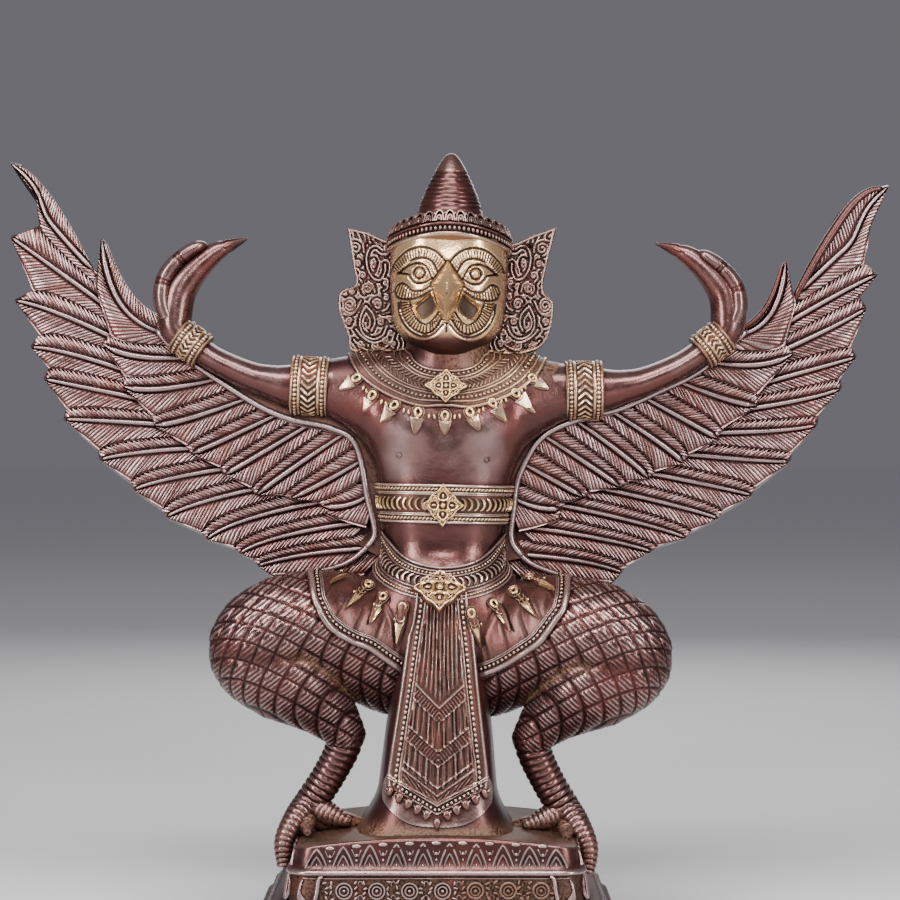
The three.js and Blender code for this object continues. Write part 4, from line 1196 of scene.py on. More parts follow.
def clasp(skin, centre, half_wide, half_high, field, gap, tone):
    """A lozenge plate with a flower, standing on a belt or collar."""
    corners = np.array([[0, half_high], [half_wide, 0], [0, -half_high], [-half_wide, 0]], float)
    middle, normal = (part[0] for part in lay([centre], field, gap))
    right = unit(np.cross(UP, normal) * -1)
    right = right * np.sign(right[0])
    upward = unit(np.cross(right, normal))
    upward = upward * np.sign(upward[2])
    outline = along(np.concatenate([corners, corners[:1]]), np.linspace(0, 1, 57)[:-1])
    outline = outline * (1 + 0.05 * np.cos(np.arange(56) * math.pi / 3.5))[:, None]

    def place(spots, lift):
        return middle + right * spots[:, :1] + upward * spots[:, 1:] + normal * lift

    section = ((1, -3.5), (1.02, -0.2), (0.97, 0.7), (0.9, 0.9), (0.2, 1.0))
    rings = [place(outline * k, lift) for k, lift in section]
    plate = 0.4 if half_wide < 18 else 0.18
    loft(skin, rings, (plate * tone[0], tone[1] * plate * 1.2, 0.2))
    for k, size in ((0.94, 0.75), (0.76, 0.45)):
        cord(skin, place(outline * k, 1.2), normal, size, size * 1.1, tone, closed=True)
    path = outline * 0.85
    spots = along(np.concatenate([path, path[:1]]), np.arange(24) / 24)
    grains(skin, place(spots, 1.1), right, normal, (0.65, 0.65, 0.7), tone)
    rosette(skin, middle + normal * 0.9, upward, normal, min(half_wide, half_high) * 0.72, tone)
    for way in (-1, 1):
        leaf = place(np.array([[way * half_wide * 0.72, 0.0]]), 1.2)
        grains(skin, leaf, right * way, normal, (2.0, 1.1, 1.0), tone, taper=0.7)


def pendant(skin, head, tip, field, tone, leaf=True):
    """A ring with a stem and a pointed drop, on a darker leaf. Without the leaf its drop is slim."""
    head, tip = np.array(head, float), np.array(tip, float)
    size = np.linalg.norm(tip - head)
    down = (tip - head) / size
    begin = 4.6 if leaf else size * 0.47
    spots, normal = lay([head, head + down * 3, head + down * begin, tip], field, 0.4)
    up = normal[0]
    way = unit(spots[2] - spots[0])
    side = np.cross(up, way)
    wide, long, sunk = (7.2, size * 0.56 + 1, 0.3) if leaf else (5.6, size * 0.6 + 1.5, -0.4)
    grains(skin, [(spots[0] + spots[3]) / 2 - up * sunk], way, normal[2], (long, wide, 1.8),
           (0.42, 0.5, 0.1) if leaf else (0.25, 0.1, 0.15), taper=0.6, rows=9, cols=18)
    t = np.linspace(0, TURN, 19)[:-1]
    drop = 1 + 0.55 * clamp(np.cos(t)) ** 3
    loops = ((2.35, 1.25, 1.3, 1.3, tone), (4.5, 0.45, 0.7, 0.8, (0.55, 0.2, 0.1)))
    for scale, wide, high, lift, tone_at in loops:
        loop = spots[0] + scale * drop[:, None] * (way * np.cos(t)[:, None] + side * np.sin(t)[:, None])
        cord(skin, loop + up * lift, up, wide, high, tone_at, closed=True)
    neck = np.linspace(spots[0] + way * 2.9, spots[2] + way * 1.0, 4)
    cord(skin, neck + up * 1.2, up, 1.2 if leaf else 0.6, 1.0, tone)
    if not leaf:
        bow = np.linspace(-1.9, 1.9, 8)
        for reach in (0.3, 0.42):
            curl = spots[0] * (1 - reach) + spots[3] * reach + up * 1.9
            curl = curl + size * 0.12 * (side * np.sin(bow)[:, None] + way * np.cos(bow)[:, None])
            cord(skin, curl, up, 0.5, 0.8, (0.75, 0.5, 0.05), cols=6)
    half = min(5.8, 0.36 * size) if leaf else 0.11 * size
    pyramid(skin, spots[2], spots[3] + way * 0.6, side * half, normal[2], 0 if leaf else 1.7,
            (0.62, 0.4, 0) if leaf else (tone[0], tone[1], 0))


def pyramid(skin, base, tip, half, foot, clear, tone):
    """A three-sided pyramid that lies on a form, from a base to a tip."""
    left, right = base - half, base + half
    low, high = (np.array([left, right, tip]) + foot * lift for lift in (-1.2, 1.1 + clear))
    peak = (left + right) / 2 * 0.6 + tip * 0.4 + foot * (2.1 + clear)
    points = np.concatenate([low, high, peak[None]])
    faces = [[0, 1, 2, 2], [0, 1, 4, 3], [1, 2, 5, 4], [2, 0, 3, 5], [3, 4, 6, 6], [4, 5, 6, 6], [5, 3, 6, 6]]
    skin.add(points, oriented(points, faces), tone)


def oriented(points, faces):
    """Turns every face of a convex body outward."""
    centre = points.mean(0)
    turned = []
    for face in faces:
        corner = points[face]
        fan = np.cross(corner[1] - corner[0], corner[2] - corner[0])
        outward = fan @ (corner.mean(0) - centre) > 0
        triangle = face[2] == face[3]
        flipped = [face[0], face[2], face[1], face[1]] if triangle else face[::-1]
        turned.append(face if outward else flipped)
    return turned


def collar_line(out, angle):
    forward = clamp(np.cos(angle))
    x = np.sin(angle) * (34 + out)
    y = -np.cos(angle) * (22 + 0.7 * out)
    z = 429 - 0.3 * out - (16.5 + 0.36 * out) * forward ** 1.4
    return np.stack([x, y, z], -1)


# The collar's section as places out from the neck and gaps over the chest, and its pendants as places of head
# and tip, with a stretch
COLLAR_SECTION = ((-1, -1), (0, 0.6), (6, 1.0), (12, 1.2), (18, 1.2), (24, 1.2), (30, 1.2), (36, 1.2),
                  (38, 0.6), (39, -1.5), (30, -3), (15, -3), (3, -3))
COLLAR_DROPS = [[-65.7, 406.4, -78, 398.8, 1.0], [-53.7, 394.2, -59.3, 384.6, 1.15],
                [-37.4, 387.2, -46.7, 376, 1.05], [-20.4, 382.5, -22.3, 367.8, 1.0],
                [-0.6, 380.7, -0.3, 369.7, 1.2], [17.7, 383.3, 23.8, 371.7, 1.05],
                [33.7, 390.3, 43.5, 378, 1.0], [50.4, 398, 65.3, 384.4, 0.95],
                [62.6, 409.2, 74.5, 402.2, 1.0]]


def collar_beads(skin, off, angle):
    """Rows of round beads, and between them slanting leaves that mirror at the front."""
    for out, pitch, size in ((4.4, 3.0, (1.25, 1.25, 1.2)), (28.8, 3.2, (1.3, 1.3, 1.3))):
        spots, ahead, upward = evenly(collar_line(out, angle), pitch, off, 0.4, closed=True)
        side = clamp(spots[:, 0] / 50)
        grains(skin, spots, ahead, upward, size, toned(0.52 + 0.1 * side, 0.15 + 0.7 * side, 0.15))
    for way in (-1, 1):
        half = np.linspace(0.24, 2.9, 60) * way
        for out, turn in ((14.4, 1), (19.2, -1)):
            spots, ahead, upward = evenly(collar_line(out, half), 3.3, off, 0.4)
            heading = ahead * 0.75 - np.cross(upward, ahead) * turn * way * 0.85
            side = clamp(spots[:, 0] / 50)
            tone = toned(0.48 + 0.1 * side, 0.1 + 0.6 * side, 0.15 + 0.1 * side)
            grains(skin, spots, heading, upward, (3.3, 0.85, 1.25), tone, taper=0.3)


def collar_pendants(skin):
    drops = np.array(COLLAR_DROPS)
    heads = drops[:, :2]
    for head, tip in zip(heads, heads + (drops[:, 2:4] - heads) * drops[:, 4:]):
        pendant(skin, head, tip, torso_field, GOLD)
    for a, b in zip(heads[:-1], heads[1:]):
        for share in (0.4, 0.6):
            spot = a + (b - a) * share + (0, -2.2)
            way = (2 * (share - 0.5), 0, -1)
            stud(skin, [spot], torso_field, 0.9, (2.3, 1.15, 1.2), GOLD, heading=way)


def collar():
    """The collar's plate, brighter on the right-hand side, with its cords, beads, clasp and pendants."""
    skin = Skin()
    angle = round_turn(150)
    off = raised(torso_field, 1.1)
    right = clamp(np.sin(angle) * 1.5) * clamp(np.cos(angle) + 0.3)
    rings = np.array([settle(collar_line(out, angle), torso_field, gap)[0] for out, gap in COLLAR_SECTION])
    hoop(skin, rings, toned(0.14, 0.1, 0.15 + 0.4 * right) * np.ones((len(rings), 1, 1)))
    gold = toned(0.42 + 0.14 * right, 0.1 + 0.7 * right, 0.15 + 0.3 * right)
    for out, radius in ((0.8, 1.0), (8, 0.75), (11, 0.6), (22.5, 0.6), (25, 0.75), (32.5, 0.8), (37.5, 1.25)):
        line, upward = settle(collar_line(out, angle), off, 0.2)
        cord(skin, line, upward, radius, radius, gold, closed=True)
    collar_beads(skin, off, angle)
    clasp(skin, (-0.3, 402), 15.5, 12, off, 1.2, GOLD)
    collar_pendants(skin)
    build("collar", skin, bronze)


def waist_line(angle, height):
    """A level line round the waist, for a height at each angle from the front."""
    points = np.stack([np.sin(angle) * 48, -np.cos(angle) * 34, np.broadcast_to(height, angle.shape)], -1)
    level = points[:, 2].copy()
    for _ in range(4):
        points, _ = settle(points, waist_field, 0)
        points[:, 2] = level
    return points


def belt(skin, line, half, gap, cords, patterns):
    strap(skin, line, waist_field, half, gap)
    trim(skin, line, raised(waist_field, 1.4), cords, patterns)


def belts():
    """The waist belt and the hip belt that hangs lower in front, each with its clasp."""
    skin = Skin()
    angle = round_turn(110)
    off = raised(waist_field, 1.4)
    upper = ((13.4, 1.2), (8.2, 0.8), (7.0, 0.5))
    belt(skin, waist_line(angle, 315.5), 14.2, 1.4,
         [(way * v, radius, PALE) for v, radius in upper for way in (-1, 1)],
         [(-10.8, 2.9, (2.0, 1.0, 1.1), METAL, 35), (10.8, 2.9, (2.0, 1.0, 1.1), METAL, 35),
          (0, 4.7, (4.3, 1.15, 1.6), GOLD, None)])
    clasp(skin, (-0.6, 314.8), 15, 15.4, off, 1.5, GOLD)
    lower = ((-12.4, 1.1), (12.4, 1.1), (-9.6, 0.7), (7.6, 0.7), (-5.4, 0.7), (5.2, 0.6))
    belt(skin, waist_line(angle, 283 - 26 * clamp(np.cos(angle)) ** 1.5), 12.5, 1.2,
         [(v, radius, DULL) for v, radius in lower],
         [(10, 2.7, (1.6, 0.8, 0.9), METAL, 0), (-7.5, 2.9, (1.1, 1.1, 1.1), METAL, 0),
          (0, 4.7, (3.5, 1.0, 1.5), PALE, None)])
    clasp(skin, (-1.5, 253.5), 19.5, 19.5, off, 2.0, GOLD)
    build("belts", skin, bronze)


def strap(skin, line, field, half, gap):
    """The plain band under a belt's ornament."""
    line, normal = settle(line, field, 0)
    section = ((-half, -1.5), (-half, gap * 0.7), (-half + 1, gap),
               (half - 1, gap), (half, gap * 0.7), (half, -1.5))
    rings = [shifted(line, normal, offset, field, lift, closed=True)[0] for offset, lift in section]
    hoop(skin, rings, (0.08, 0.1, 0.12))


# The hip flaps' pendants, as places of head and tip, and their hems
FLAPS = {
    -1: ([[-63.9, 263.8, -81.1, 257], [-54.3, 254.6, -70.6, 238.3], [-42.5, 246.9, -52.2, 227.9],
          [-27.9, 240.7, -31.7, 214]],
         [[-97, 268], [-94.5, 255], [-91, 243], [-80.5, 226.5], [-65.7, 216.5], [-52.6, 211], [-40.1, 202.1],
          [-26, 192]]),
    1: ([[21.4, 237.5, 28.4, 213.9], [37.2, 244.3, 50.7, 225.8], [53, 252.6, 70, 234.9],
         [64.4, 262.3, 81.9, 255.4]],
        [[92, 268], [91, 255], [88.4, 243], [82.4, 233.7], [71.8, 219], [57.6, 207.8], [43.3, 198.1],
         [26, 190]])}


def flap_plate(skin, sign, edge):
    """The cloth of a flap, from the belt to its hem, with a few fold lines."""
    top = np.array([[sign * 92, 274], [sign * 60, 277], [sign * 34, 258], [sign * 12, 246]])
    top = along(top, np.linspace(0, 1, 90))
    t = np.linspace(0, 1, 26)[None, :, None]
    spots = top[:, None] * (1 - t) + edge[:, None] * t
    relief = Relief(spots.reshape(-1, 2))
    for share in np.linspace(0.12, 0.88, 6):
        a, b = along(top, [share])[0], along(edge, [share])[0]
        relief.line([a * 0.45 + b * 0.55, a * 0.08 + b * 0.92], 1.0, -0.5, smooth=False)
    wear = np.clip(relief.wear - 0.12, 0.1, 0.42).reshape(spots.shape[:2])
    sheet(skin, spots, hip_field, 1.5, relief.height, toned(wear, 0.0, 0.1))


def hem(skin, sign, edge):
    """The roll, cords and beads along a flap's hem, and the knob at its outer end."""
    line, upward = lay(edge, hip_field, 1.8)
    cord(skin, line, upward, 2.6, 2.4, DULL, cols=9)
    for offset, radius in ((-6.6, 0.75), (-8.0, 0.6)):
        beside, up = shifted(line, upward, offset * -sign, hip_field, 2.0)
        cord(skin, beside, up, radius, radius, DULL)
    beside, _ = shifted(line, upward, 4.2 * sign, hip_field, 2.0)
    spots, ahead, up = evenly(beside, 3.7, hip_field, 2.2)
    grains(skin, spots, ahead, up, (1.5, 1.4, 1.3), (0.72, 0.15, 0.0))
    stud(skin, [edge[0]], hip_field, 2.6, (3.4, 3.2, 3.0), (0.9, 0.35, 0.0), rows=7, cols=12)


def flaps():
    skin = Skin()
    for sign, (drops, edge) in FLAPS.items():
        edge = along(spline(edge), np.linspace(0, 1, 90))
        flap_plate(skin, sign, edge)
        hem(skin, sign, edge)
        for head, tip in np.array(drops).reshape(-1, 2, 2):
            pendant(skin, head, tip, raised(hip_field, 2.4), GOLD, leaf=False)
            stud(skin, [head * 0.6 + tip * 0.4 + (4 * sign, 1)], hip_field, 2.6, (1.3, 1.1, 1.1), GOLD)
    build("flaps", skin, bronze)


def sash_half(z):
    return np.interp(z, [84, 100, 112, 120, 181, 250], [33, 33, 33.6, 34, 26, 18])


SASH_TOP, SASH_FOOT, SASH_SLANT = 252, 91, 19
CHEVRONS = (168, 157.5, 136.5, 126, 110.5, 105)


def ripple(values, pitch):
    """A rounded wave that is cut off low."""
    return np.clip(np.cos(TURN * values / pitch) * 1.3, -0.6, 1)


def sash_relief(x, z):
    """The sash's fringe, chevrons, ribs, hatching and edge lines, over its spots."""
    relief = Relief(np.stack([x.ravel(), z.ravel()], -1))
    relief.wear[:] = 0.22
    u, v = relief.spots.T
    half = sash_half(v)
    edge = half - np.abs(u)
    middle = edge > 9
    chevron = v - 0.98 * np.abs(u) * 26 / half
    for centre in CHEVRONS:
        relief.press(hump(np.abs(chevron - centre), 1.1) * middle, 1.1, 0.8)
    pitch = 3.8 * half / 30
    rough = 0.7 + 0.45 * np.sin(np.round(u / pitch) * 2.4 + np.sin(v / 6))
    dash = np.zeros(len(u), bool)
    for high, low in (CHEVRONS[:2], CHEVRONS[2:4]):
        dash |= (chevron < high) & (chevron > low)
    slant = ripple(u + 0.8 * np.sign(u) * v, 3.0)
    band = np.where(dash, slant * 0.6, ripple(u, pitch) * rough * 0.9)
    plain = (chevron < 166) & (chevron > 107) & middle
    relief.height += band * plain
    relief.wear += 0.42 * np.clip(band, -0.5, 1) * plain
    strand = u / half
    streak = np.clip(np.cos(TURN * strand * 8 + 0.7 * np.sin(v / 16 + strand * 5)) * 1.3, -1, 1)
    ragged = 0.75 + 0.25 * np.sin(strand * 31 + v / 7)
    relief.pattern(streak, 0.7, 0.4, ramp(chevron, 170, 6) * (edge > 8.5) * ragged)
    for place, width, lift in ((0.9, 1.3, 1.2), (7.2, 0.9, 0.8), (8.8, 0.7, 0.6)):
        relief.press(hump(edge - place, width) * (v > 96), lift, 0.9)
    low = v - (SASH_FOOT + SASH_SLANT * np.abs(u) / half)
    panel = (chevron < 103.6) & (low > 10.2) & (edge > 9.6)
    relief.pattern(ripple(u - 0.7 * np.sign(u) * v, 2.6), 0.5, 0.3, panel)
    for place in (1.0, 7.0, 8.8):
        relief.press(hump(low - place, 0.9), 0.9, 0.95)
    return relief


def sash_beads(skin, off, sign):
    """Beads inside one edge of the sash, and the drops and bits of its fringe."""
    def slanted(reach, base):
        return np.stack([sign * reach, base + SASH_SLANT * reach / 33], -1)

    heights = np.linspace(249, 115, 60)
    line = np.stack([sign * (sash_half(heights) - 4), heights], -1)
    stud(skin, along(line, np.linspace(0, 1, 36)), off, 0.5, (1.6, 1.45, 1.4), (0.9, 0.3, 0.0))
    bottom = slanted(np.linspace(31, 1.5, 30), 95)
    stud(skin, along(bottom, np.linspace(0, 1, 11)), off, 0.5, (1.4, 1.3, 1.3), (0.9, 0.2, 0.0))
    way = np.array([sign * 0.25, 0, -1])
    drops = slanted(np.linspace(34, 7.5, 5), 87.5)
    places, up = stud(skin, drops, off, 0.9, (4.1, 4.2, 2.1), (0.42, 0.05, 0.1), heading=way, taper=0.5,
                      rows=7, cols=12)
    for beside in (-2.6, 2.6):
        bits = places - unit(way) * 2.6 + (beside, 0, 0)
        grains(skin, bits, (beside * 0.4, 0, 1), up, (1.9, 1.0, 1.5), (0.7, 0.1, 0.0), taper=0.4)


def tongue(skin):
    """The pale tongue under the fringe."""
    s = np.linspace(-1, 1, 34)
    t = np.linspace(0, 1, 30)[:, None]
    z = 118 * (1 - t) + (83 + 16 * np.abs(s) ** 3.2) * t
    x = s * (34.5 + 5.5 * np.sqrt(t) - 2.5 * t ** 3)
    sheet(skin, np.stack([x, z], -1), support_field, 1.9, 0 * x.ravel(), np.array([0.6, 0.0, 0.1]))


def sash():
    skin = Skin()
    s = np.linspace(-1, 1, 88)
    t = np.linspace(0, 1, 236)[:, None]
    z = SASH_TOP * (1 - t) + (SASH_FOOT + SASH_SLANT * np.abs(s)) * t
    x = s * sash_half(z)
    relief = sash_relief(x, z)
    tone = toned(relief.wear * 0.85, 0.1, 0.08).reshape(*x.shape, 3)
    sheet(skin, np.stack([x, z], -1), sash_field, 2.2, relief.height, tone, depth=3.5)
    off = raised(sash_field, 2.2)
    for sign in (-1, 1):
        sash_beads(skin, off, sign)
    stud(skin, [[0.2, 86]], off, 0.9, (4.6, 3.8, 2.0), (0.4, 0.05, 0.1), heading=-UP, taper=0.6,
         rows=7, cols=12)
    tongue(skin)
    build("sash", skin, bronze)


def support():
    skin = Skin()
    heights = np.linspace(69, 249, 50)
    angle = round_turn(80)
    half, ahead, behind = (np.interp(heights, SUPPORT[:, 0], SUPPORT[:, k])[:, None] for k in (1, 2, 3))
    c, s = np.cos(angle), np.sin(angle)
    x = half * np.sign(s) * np.abs(s) ** 0.5
    y = -np.where(c > 0, ahead, behind) * np.sign(c) * np.abs(c) ** 0.5
    z = np.broadcast_to(heights[:, None], x.shape)
    dust = ramp(z, 88, -8) * (0.35 + 0.2 * clamp(c))
    loft(skin, np.stack([x, y, z], -1), toned(0.3 - 0.12 * ramp(z, 130, -60), 0, dust))
    build("support", skin, bronze)


# Head. Places on it are read off the photograph, in pixels of an enlarged part of it.
def seen(places, left, top, zoom, depth):
    """Places in the figure's own frame that the camera sees at those pixels."""
    places = np.asarray(places, float)
    k = PIXEL * (CAMERA_AWAY + depth) / CAMERA_AWAY
    x = CAMERA_X + (left + places[..., 0] / zoom - HALF_IMAGE) * k
    z = CAMERA_Z + (HALF_IMAGE - top - places[..., 1] / zoom) * k - SEAT
    c, s = math.cos(LEAN), math.sin(LEAN)
    return np.stack([x * c - z * s, SEAT + x * s + z * c], -1)


FACE_MIDDLE = -0.9
BROW_TOP = [(95, 340), (120, 285), (170, 232), (250, 175), (340, 152), (430, 160), (510, 200), (560, 250),
            (598, 305)]
BROW_LOW = [(170, 372), (230, 310), (300, 262), (370, 248), (430, 262), (480, 300), (520, 385)]
LID_TOP = [(150, 378), (200, 348), (260, 312), (330, 298), (400, 318), (440, 370), (470, 440)]
LID_LOW = [(150, 378), (225, 388), (255, 402), (270, 430), (310, 470), (380, 478), (440, 455), (470, 440)]
SWOOSH_TOP = [(125, 530), (150, 485), (200, 472), (240, 500), (290, 545), (380, 545), (455, 505)]
SWOOSH_LOW = [(125, 530), (150, 590), (200, 612), (260, 618), (350, 605), (455, 550)]
POCKET = [(455, 572), (380, 628), (302, 690), (325, 765), (370, 798), (440, 780), (505, 705), (485, 630),
          (455, 572)]
LASH_IN = [(262, 640), (288, 722), (330, 800), (394, 846), (450, 834), (500, 778), (530, 740)]
LASH_OUT = [(178, 636), (188, 720), (224, 808), (295, 888), (400, 930), (485, 900), (550, 810)]
TROUGH = [(158, 640), (168, 740), (208, 835), (284, 914), (398, 958), (492, 926), (566, 850)]
CHEEK = [(130, 620), (142, 735), (184, 846), (266, 938), (380, 984), (470, 968), (540, 928), (605, 850)]


def inside(spots, outline):
    """Which spots lie inside a closed outline."""
    hit = np.zeros(len(spots), bool)
    x, z = spots[:, 0], spots[:, 1]
    for a, b in zip(outline, np.roll(outline, -1, axis=0)):
        cross = (a[1] > z) != (b[1] > z)
        edge = (b[0] - a[0]) * (z - a[1]) / (b[1] - a[1] + 1e-12) + a[0]
        hit ^= cross & (x < edge)
    return hit


def fan(relief, outline, centre, pitch, height):
    """Strokes that spread from a centre, inside an outline."""
    rows = np.nonzero(inside(relief.spots, outline))[0]
    off = relief.spots[rows] - centre
    wave = np.cos(TURN * np.degrees(np.arctan2(off[:, 0], off[:, 1])) / pitch)
    relief.height[rows] += height * wave
    relief.wear[rows] = 0.5 + 0.55 * wave


def enclosed(first, second):
    """The outline between two lines."""
    return np.concatenate([spline(first, 6), spline(second, 6)[::-1]])


def brow(relief, at):
    top, low = at(BROW_TOP), at(BROW_LOW)
    fan(relief, np.concatenate([top, low[::-1]]), at((350, 590)), 3.9, 0.35)
    relief.line(top, 1.0, -1.3).line(low, 0.95, -1.2)
    relief.line(at(np.array(BROW_TOP[1:]) + (0, 16)), 0.5, 0.35)


def eye(relief, at):
    top, low = at(LID_TOP), at(LID_LOW)
    relief.height[inside(relief.spots, enclosed(top, low))] -= 0.25
    relief.line(top, 0.95, -1.2).line(low, 0.9, -1.1)
    relief.line(at(np.array(LID_TOP[1:]) + (0, -26)), 0.6, 0.45)
    middle = at((352, 385))
    turn = np.linspace(0, TURN, 25)
    circle = np.stack([np.cos(turn), np.sin(turn)], -1)
    relief.line(middle + 4.1 * circle, 0.85, -1.1, smooth=False)
    relief.line(middle + 5.6 * circle, 0.6, 0.5, smooth=False)
    relief.dots([middle], 2.7, 1.7)


def cheek(relief, at):
    """The feathered band under the eye, the hollow beside the beak and the lines round it."""
    top, low = at(SWOOSH_TOP), at(SWOOSH_LOW)
    fan(relief, enclosed(top, low), at((330, 150)), 3.6, 0.4)
    relief.line(top, 0.9, -1.1).line(low, 0.9, -1.1)
    rows = inside(relief.spots, spline(at(POCKET), 5))
    relief.height[rows] -= 3.2
    relief.wear[rows] = 0.0
    relief.line(at(POCKET), 0.75, 1.2)
    outer, inner = at(LASH_OUT), at(LASH_IN)
    fan(relief, enclosed(outer, inner), at((440, 640)), 6.4, 0.6)
    relief.line(outer, 0.9, -1.2).line(inner, 0.75, -0.8)
    relief.line(at(TROUGH), 0.8, -0.7).line(at(CHEEK), 1.0, 0.8)
    relief.line(at([(606, 285), (462, 480), (598, 835)]), 1.3, -1.3, smooth=False)


def face(relief):
    """The face's lines on both sides, mirrored at its middle."""
    for mirrored in (False, True):
        def at(places, mirrored=mirrored):
            spots = seen(places, 380, 230, 9, -50)
            return np.stack([2 * FACE_MIDDLE - spots[..., 0], spots[..., 1]], -1) if mirrored else spots

        brow(relief, at)
        eye(relief, at)
        cheek(relief, at)
    relief.line([[FACE_MIDDLE, 446.5], [FACE_MIDDLE, 441]], 0.7, -0.5)


SKULL = spline([[418, 12, 26, 18], [425, 17.5, 36, 22], [429, 22, 42.5, 25], [433, 28, 47, 28],
                [438.5, 34.4, 50.5, 31], [444, 38.6, 52.5, 33], [452, 41.8, 53.5, 34],
                [475, 43.6, 54, 36], [495, 44.2, 53, 36], [514, 43, 49, 34]], 8)
SKULL_SQUARE = 2.7


def outline_ring(half, ahead, behind, square, count_front, count_back):
    """An evenly spaced ring that starts at the left, runs over the front and back behind."""
    t = np.linspace(-math.pi / 2, math.pi / 2, 400)
    across = np.sign(np.sin(t)) * np.abs(np.sin(t)) ** (2 / square)
    forward = np.abs(np.cos(t)) ** (2 / square)
    near = along(np.stack([half * across, -ahead * forward], -1), np.linspace(0, 1, count_front))
    shares = np.linspace(0, 1, count_back + 2)[1:-1]
    far = along(np.stack([half * across, behind * forward], -1)[::-1], shares)
    return np.concatenate([near, far])


BEAK = spline([[492.5, 0.5, 52, 53.2], [484, 6.2, 52, 61.5], [476.3, 11.7, 52, 67.6], [474.6, 12.3, 52, 68.8],
               [472.8, 11.7, 52, 70.2], [464, 8.4, 52, 75.8], [455, 5.4, 54, 79], [449.5, 3.0, 60, 79],
               [447, 1.1, 68, 77.8]], 6)


def skull_rings():
    """The head without its relief, as rings from the chin up."""
    rings = []
    for z in np.linspace(418.5, 513.5, 148):
        half, ahead, behind = (np.interp(z, SKULL[:, 0], SKULL[:, k]) for k in (1, 2, 3))
        flat = outline_ring(half, ahead, behind, SKULL_SQUARE, 190, 22)
        rings.append(at_height(flat, z))
    return np.array(rings)


def beak(skin):
    """The beak, whose rows give height, half width, depth at the side and at the ridge."""
    t = np.linspace(-1, 1, 17)
    rings = []
    for z, half, side, ridge in BEAK:
        profile = side + (ridge - side) * (1 - np.abs(t) ** 1.5)
        near = np.stack([FACE_MIDDLE + half * t, -profile, np.full(17, z)], -1)
        far = [[FACE_MIDDLE + way * half * 0.8, -side + 9, z] for way in (1, -1)]
        rings.append(np.concatenate([near, far]))
    loft(skin, rings, (0.85, 1.0, 0))
    # The nostril is a dark grain: painted shade standing for a hole.
    grains(skin, [[FACE_MIDDLE - 0.3, -76.4, 467.2]], (1, 0, -0.4), (0, -1, 0), (1.0, 0.55, 0.5), (0, 0, 0))


def head():
    """The skull with its brass face, with painted shade under the chin and towards the ears."""
    skin = Skin()
    rings = skull_rings()
    ahead = np.roll(rings, -1, 1) - np.roll(rings, 1, 1)
    outward = unit(np.stack([ahead[..., 1], -ahead[..., 0], 0 * ahead[..., 0]], -1))
    relief = Relief(rings[..., [0, 2]].reshape(-1, 2))
    relief.wear[:] = 0.68
    face(relief)
    fore = ramp(-rings[..., 1], 22, 6)
    rings = rings + outward * (relief.height.reshape(fore.shape) * fore)[..., None]
    x, y, z = (rings[..., k] for k in range(3))
    # Painted shade: the face darkens and loses its brass under the chin, and darkens towards its sides.
    under = ramp(z, 441, -8)
    front_edge = ramp(-y, 12, 4)
    wear = (0.45 + (relief.wear.reshape(fore.shape) - 0.45) * fore) * (1 - 0.9 * under)
    wear = wear * (0.4 + 0.6 * front_edge) - 0.22 * ramp(np.abs(x - FACE_MIDDLE), 36, 8) * front_edge
    loft(skin, rings, toned(wear, front_edge * (1 - 0.85 * under), 0))
    beak(skin)
    build("head", skin, bronze)


CROWN_Y = -8.0
CROWN_RIM = [[43, 507.5], [44.5, 510.4], [46.2, 511], [47.0, 512.3], [46.6, 513.6], [45.6, 514.2],
             [45.6, 518.6], [46.4, 519.1], [46.7, 520], [46.0, 520.8], [45.5, 521.4], [45.2, 522.4],
             [42.4, 528.8], [38, 529.6], [30, 530.2]]
CROWN_CONE = spline([[24.5, 531], [21.7, 541], [17.2, 552], [11.8, 563], [6.8, 571.4], [3.4, 575.3],
                     [0.6, 576.4]], 10)
CROWN_DROOP = 9.5
CONE_RINGS, CONE_PITCH = (532, 563), 3.3
LEAF_FOOT, LEAF_RISE = 521.4, 7.6


def crown_body(skin):
    """The turned crown, whose rim droops at the sides, with uneven rings round its cone."""
    profile = np.concatenate([CROWN_RIM, CROWN_CONE])
    angle = round_turn(100)
    radius, height = profile[:, :1], profile[:, 1:]
    ringed_part = (height > CONE_RINGS[0]) & (height < CONE_RINGS[1])
    ridge = np.where(ringed_part, -0.75 * np.abs(np.cos(math.pi * height / CONE_PITCH)) ** 4, 0)
    row = np.round(height / CONE_PITCH)
    ridge = ridge * (0.7 + 0.5 * np.sin(angle * 5 + row * 2.1) * np.sin(angle * 3 + row * 1.3))
    radius = radius + ridge
    droop = CROWN_DROOP * ramp(height, 531.5, -2.4) * np.sin(angle) ** 2
    deep = np.where(np.cos(angle) > 0, 0.99, 0.98)
    rings = np.stack([radius * np.sin(angle), CROWN_Y - radius * deep * np.cos(angle), height - droop], -1)
    wear = np.where(height > 531, 0.42, 0.35) + ridge * 0.7
    cap, rim = 0.5 * ramp(height, 560, 3), ramp(height, 514, -1.0)
    loft(skin, rings, toned(clamp(wear + 0.3 * cap + 0.3 * rim), 0.3 * rim + 0.1 * cap, 0))


def on_crown(turn, radius, height):
    drop = CROWN_DROOP * np.sin(turn) ** 2
    return np.stack([radius * np.sin(turn), CROWN_Y - radius * np.cos(turn), height - drop], -1)


